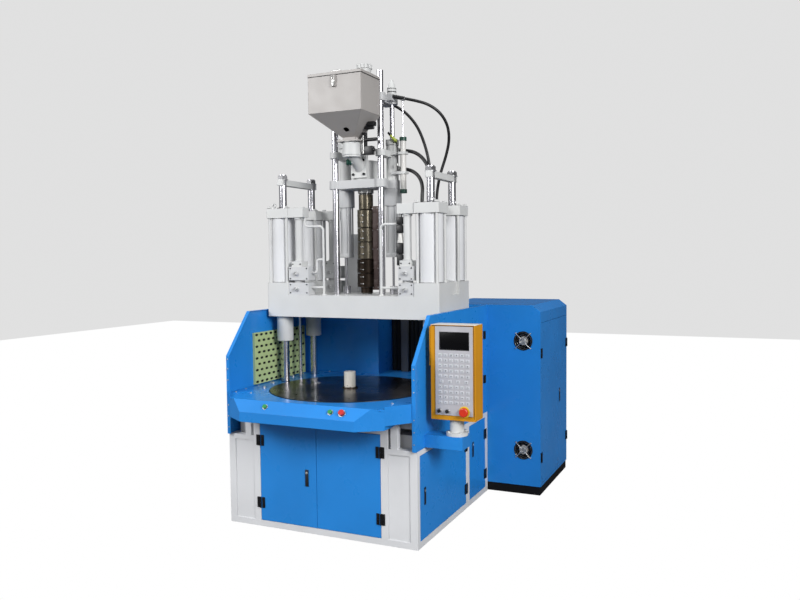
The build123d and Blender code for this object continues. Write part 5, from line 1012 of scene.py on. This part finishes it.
def make_deck_screws():
    """Screws round the deck, and four taller domed bolts on its left."""
    screws = Form()
    for x in (-690, -560, 560, 690):
        for y in (-700, 430):
            screws.bolt((x, y, DECK_Z), (x, y, DECK_Z + 5), 8)
    for x in (-705, 705):
        for y in (-560, -400, -240, -80, 80, 240, 560):
            screws.bolt((x, y, DECK_Z), (x, y, DECK_Z + 4), 6)
    for x, y in DOMED_BOLTS:
        screws.turned((x, y, DECK_Z), (x, y, DECK_Z + 16), [(13, 0), (13, 9), (9, 14), (3, 16)], 24)
    screws.done("deck_screws", "bright", "frame")


def make_guard_fittings():
    """Hinges, rivets, black sheets of painted shade behind the guards' perforated panels, the deck's screws,
    and what stands behind the deck, among it a black pleated curtain that paints the shade there.
    """
    hinges = Form()
    for z in (1282, 927):
        hinges.block(743, 750, 622, 668, z - 32, z + 32, 1.5)
        hinges.rod((751, 645, z - 30), (751, 645, z + 30), 7, 24)
    hinges.done("guard_hinges", "black", "frame")
    rivets = Form()
    for z in RIVET_ZS:
        for x in (-730, 730):
            dome = [(5, 0), (4.6, 1.4), (3, 2.6), (0.6, 3)]
            rivets.turned((x, GUARD_FRONT, z), (x, GUARD_FRONT - 3, z), dome, 16)
    rivets.done("guard_rivets", "zinc", "frame")
    make_deck_screws()
    # Black sheets behind the perforated panels, painted shade that darkens their holes
    shade_sheet = Form()
    for side in SIDES:
        shade_sheet.block(side * 725, side * 727, -411, 294, 964, 1344, 0.4)
    shade_sheet.done("perforated_painted_shade_sheet", "shade_black", "frame")
    # A black pleated curtain, painted shade for the dark opening behind the deck
    cover = Form()
    cover.pleats(-94, 733, 690, 16, 20, 952, 1496)
    cover.done("rear_pleated_painted_shade", "shade_black", "frame")
    strut = Form()
    strut.block(12, 76, 640, 668, 951, 1480, 3)
    strut.done("rear_strut", "iron", "frame")
    post_foot = Form()
    for angle in range(0, 360, 60):
        x = 50.5 * math.cos(math.radians(angle))
        y = TABLE_Y + 50.5 * math.sin(math.radians(angle))
        post_foot.bolt((x, y, 961), (x, y, 966), 4.6)
    post_foot.done("post_foot_bolts", "dark_bolt", "table")


# The console's slope, from its lower front edge to its upper back edge, and how far up it the buttons are
CONSOLE_SLOPE = ((-1010, 882), (-948, 956))
BUTTON_SHARE = 0.52


def make_button_fittings():
    """Bright bezels round the operator buttons on the console's slope."""
    (front_y, low_z), (back_y, high_z) = CONSOLE_SLOPE
    run = Vector((0, back_y - front_y, high_z - low_z))
    outward = Vector((0, -run.z, run.y)).normalized()
    middle = Vector((0, front_y, low_z)) + run * BUTTON_SHARE
    bezels = Form()
    for button in ("start_button_left", "start_button_right", "stop_button"):
        low, high = corners_of(button)
        base = middle + Vector((middle_of(button)[0], 0, 0))
        bezels.sleeve(base, base + outward * 1.6, (high[0] - low[0]) / 2 + 5, 9.5, 36, 0.5)
    bezels.done("button_bezels", "bright", "frame")


# Camera and studio, in metres and degrees

CAMERA_PLACE = (2.7198, -5.2730, 1.9070)
CAMERA_YAW = 24.64
CAMERA_PITCH = 3.11
CAMERA_ROLL = -0.6
CAMERA_LENS = 34.95
FLOOR_HALF = 14.0
WORLD_STRENGTH = 0.75
WHITE = (1.0, 1.0, 1.0, 1.0)

# Each lamp's name, place, aim, width and power
LAMPS = (
    ("key", (-4.4, -6.4, 4.9), (0, -0.2, 1.2), 3.2, 405.0),
    ("fill", (6.4, -4.2, 4.0), (0.4, 0, 1.3), 3.0, 480.0),
    ("top", (0.3, 0.6, 6.6), (0.2, 0.2, 1.0), 3.4, 70.0),
    ("rear", (-3.2, 4.6, 4.2), (0, 0.3, 1.6), 2.6, 50.0),
)


def make_camera():
    """The camera, where the photograph was taken from."""
    yaw = math.radians(CAMERA_YAW)
    pitch = math.radians(CAMERA_PITCH)
    roll = math.radians(CAMERA_ROLL)
    back = Vector((math.sin(yaw) * math.cos(pitch), -math.cos(yaw) * math.cos(pitch), math.sin(pitch)))
    right = Vector((0, 0, 1)).cross(back).normalized()
    up = back.cross(right)
    turned_right = right * math.cos(roll) + up * math.sin(roll)
    turned_up = back.cross(turned_right)
    turn = Matrix((turned_right, turned_up, back)).transposed().to_4x4()
    camera = bpy.data.objects.new("camera", bpy.data.cameras.new("camera"))
    camera.data.lens = CAMERA_LENS
    camera.data.sensor_width = 36
    camera.data.clip_end = 100
    camera.matrix_world = Matrix.Translation(CAMERA_PLACE) @ turn
    bpy.context.scene.collection.objects.link(camera)
    bpy.context.scene.camera = camera


def make_world():
    """An even pale surround, darker from below and behind, and plain white to the camera."""
    world = bpy.data.worlds.new("studio")
    bpy.context.scene.world = world
    world.use_nodes = True
    tree = Nodes(world.node_tree)
    split = tree.add("SeparateXYZ", {0: tree.add("TexCoord").outputs["Generated"]})
    ramp = tree.add("ValToRGB")
    low, high = ramp.color_ramp.elements
    low.position = 0.30
    low.color = (0.20, 0.20, 0.21, 1)
    high.position = 0.85
    high.color = (0.80, 0.81, 0.83, 1)
    ramp.color_ramp.elements.new(0.55).color = (0.56, 0.57, 0.59, 1)
    tree.feed(ramp, {0: tree.maths("MULTIPLY_ADD", split.outputs["Z"], 0.5, 0.5)})
    behind = tree.ramp(split.outputs["Y"], -0.25, 0.55, 1.0, 0.22)
    shade = tree.add("VectorMath", {0: ramp.outputs[0], "Scale": behind}, operation="SCALE")
    seen = tree.add("LightPath").outputs["Is Camera Ray"]
    colour = tree.mix(seen, shade.outputs[0], WHITE)
    tree.feed(tree.nodes["Background"], {"Color": colour, "Strength": WORLD_STRENGTH})


def make_floor():
    """A grey floor under the lamps, which the camera sees as plain white."""
    shader = Shader("studio_floor", roughness=0.7)
    grain = shader.noise(scale=40.0, detail=3.0)
    shader.set(colour=shader.mix(shader.ramp(grain, 0.3, 0.7), srgb(86, 86, 88), srgb(94, 94, 96)))
    glow = shader.add("Emission", {"Color": WHITE})
    seen = shader.add("LightPath").outputs["Is Camera Ray"]
    parts = {0: seen, 1: shader.surface.outputs[0], 2: glow.outputs[0]}
    seen_white = shader.add("MixShader", parts)
    shader.feed(shader.nodes["Material Output"], {"Surface": seen_white.outputs[0]})
    shape = bmesh.new()
    corners = [(-1, -1), (1, -1), (1, 1), (-1, 1)]
    shape.faces.new([shape.verts.new((x * FLOOR_HALF, y * FLOOR_HALF, 0)) for x, y in corners])
    finish_piece("studio_floor", shape, shader.material, smooth=False)


def make_lamps():
    """Four round soft lamps."""
    for name, place, target, size, power in LAMPS:
        data = bpy.data.lights.new(name, "AREA")
        data.shape = "DISK"
        data.size = size
        data.energy = power
        lamp = bpy.data.objects.new(name, data)
        lamp.location = place
        lamp.rotation_euler = (Vector(target) - Vector(place)).to_track_quat("-Z", "Y").to_euler()
        bpy.context.scene.collection.objects.link(lamp)


bpy.context.scene.view_settings.view_transform = "Standard"
make_camera()
make_world()
make_floor()
make_lamps()
dress_nodes()
make_hoses()
make_door_fittings()
make_fan_fittings()
make_panel_fittings()
make_heater_fittings()
make_head_fittings()
make_hopper_fittings()
make_injection_fittings()
make_clamp_fittings()
make_valve_fittings()
make_guard_fittings()
make_button_fittings()
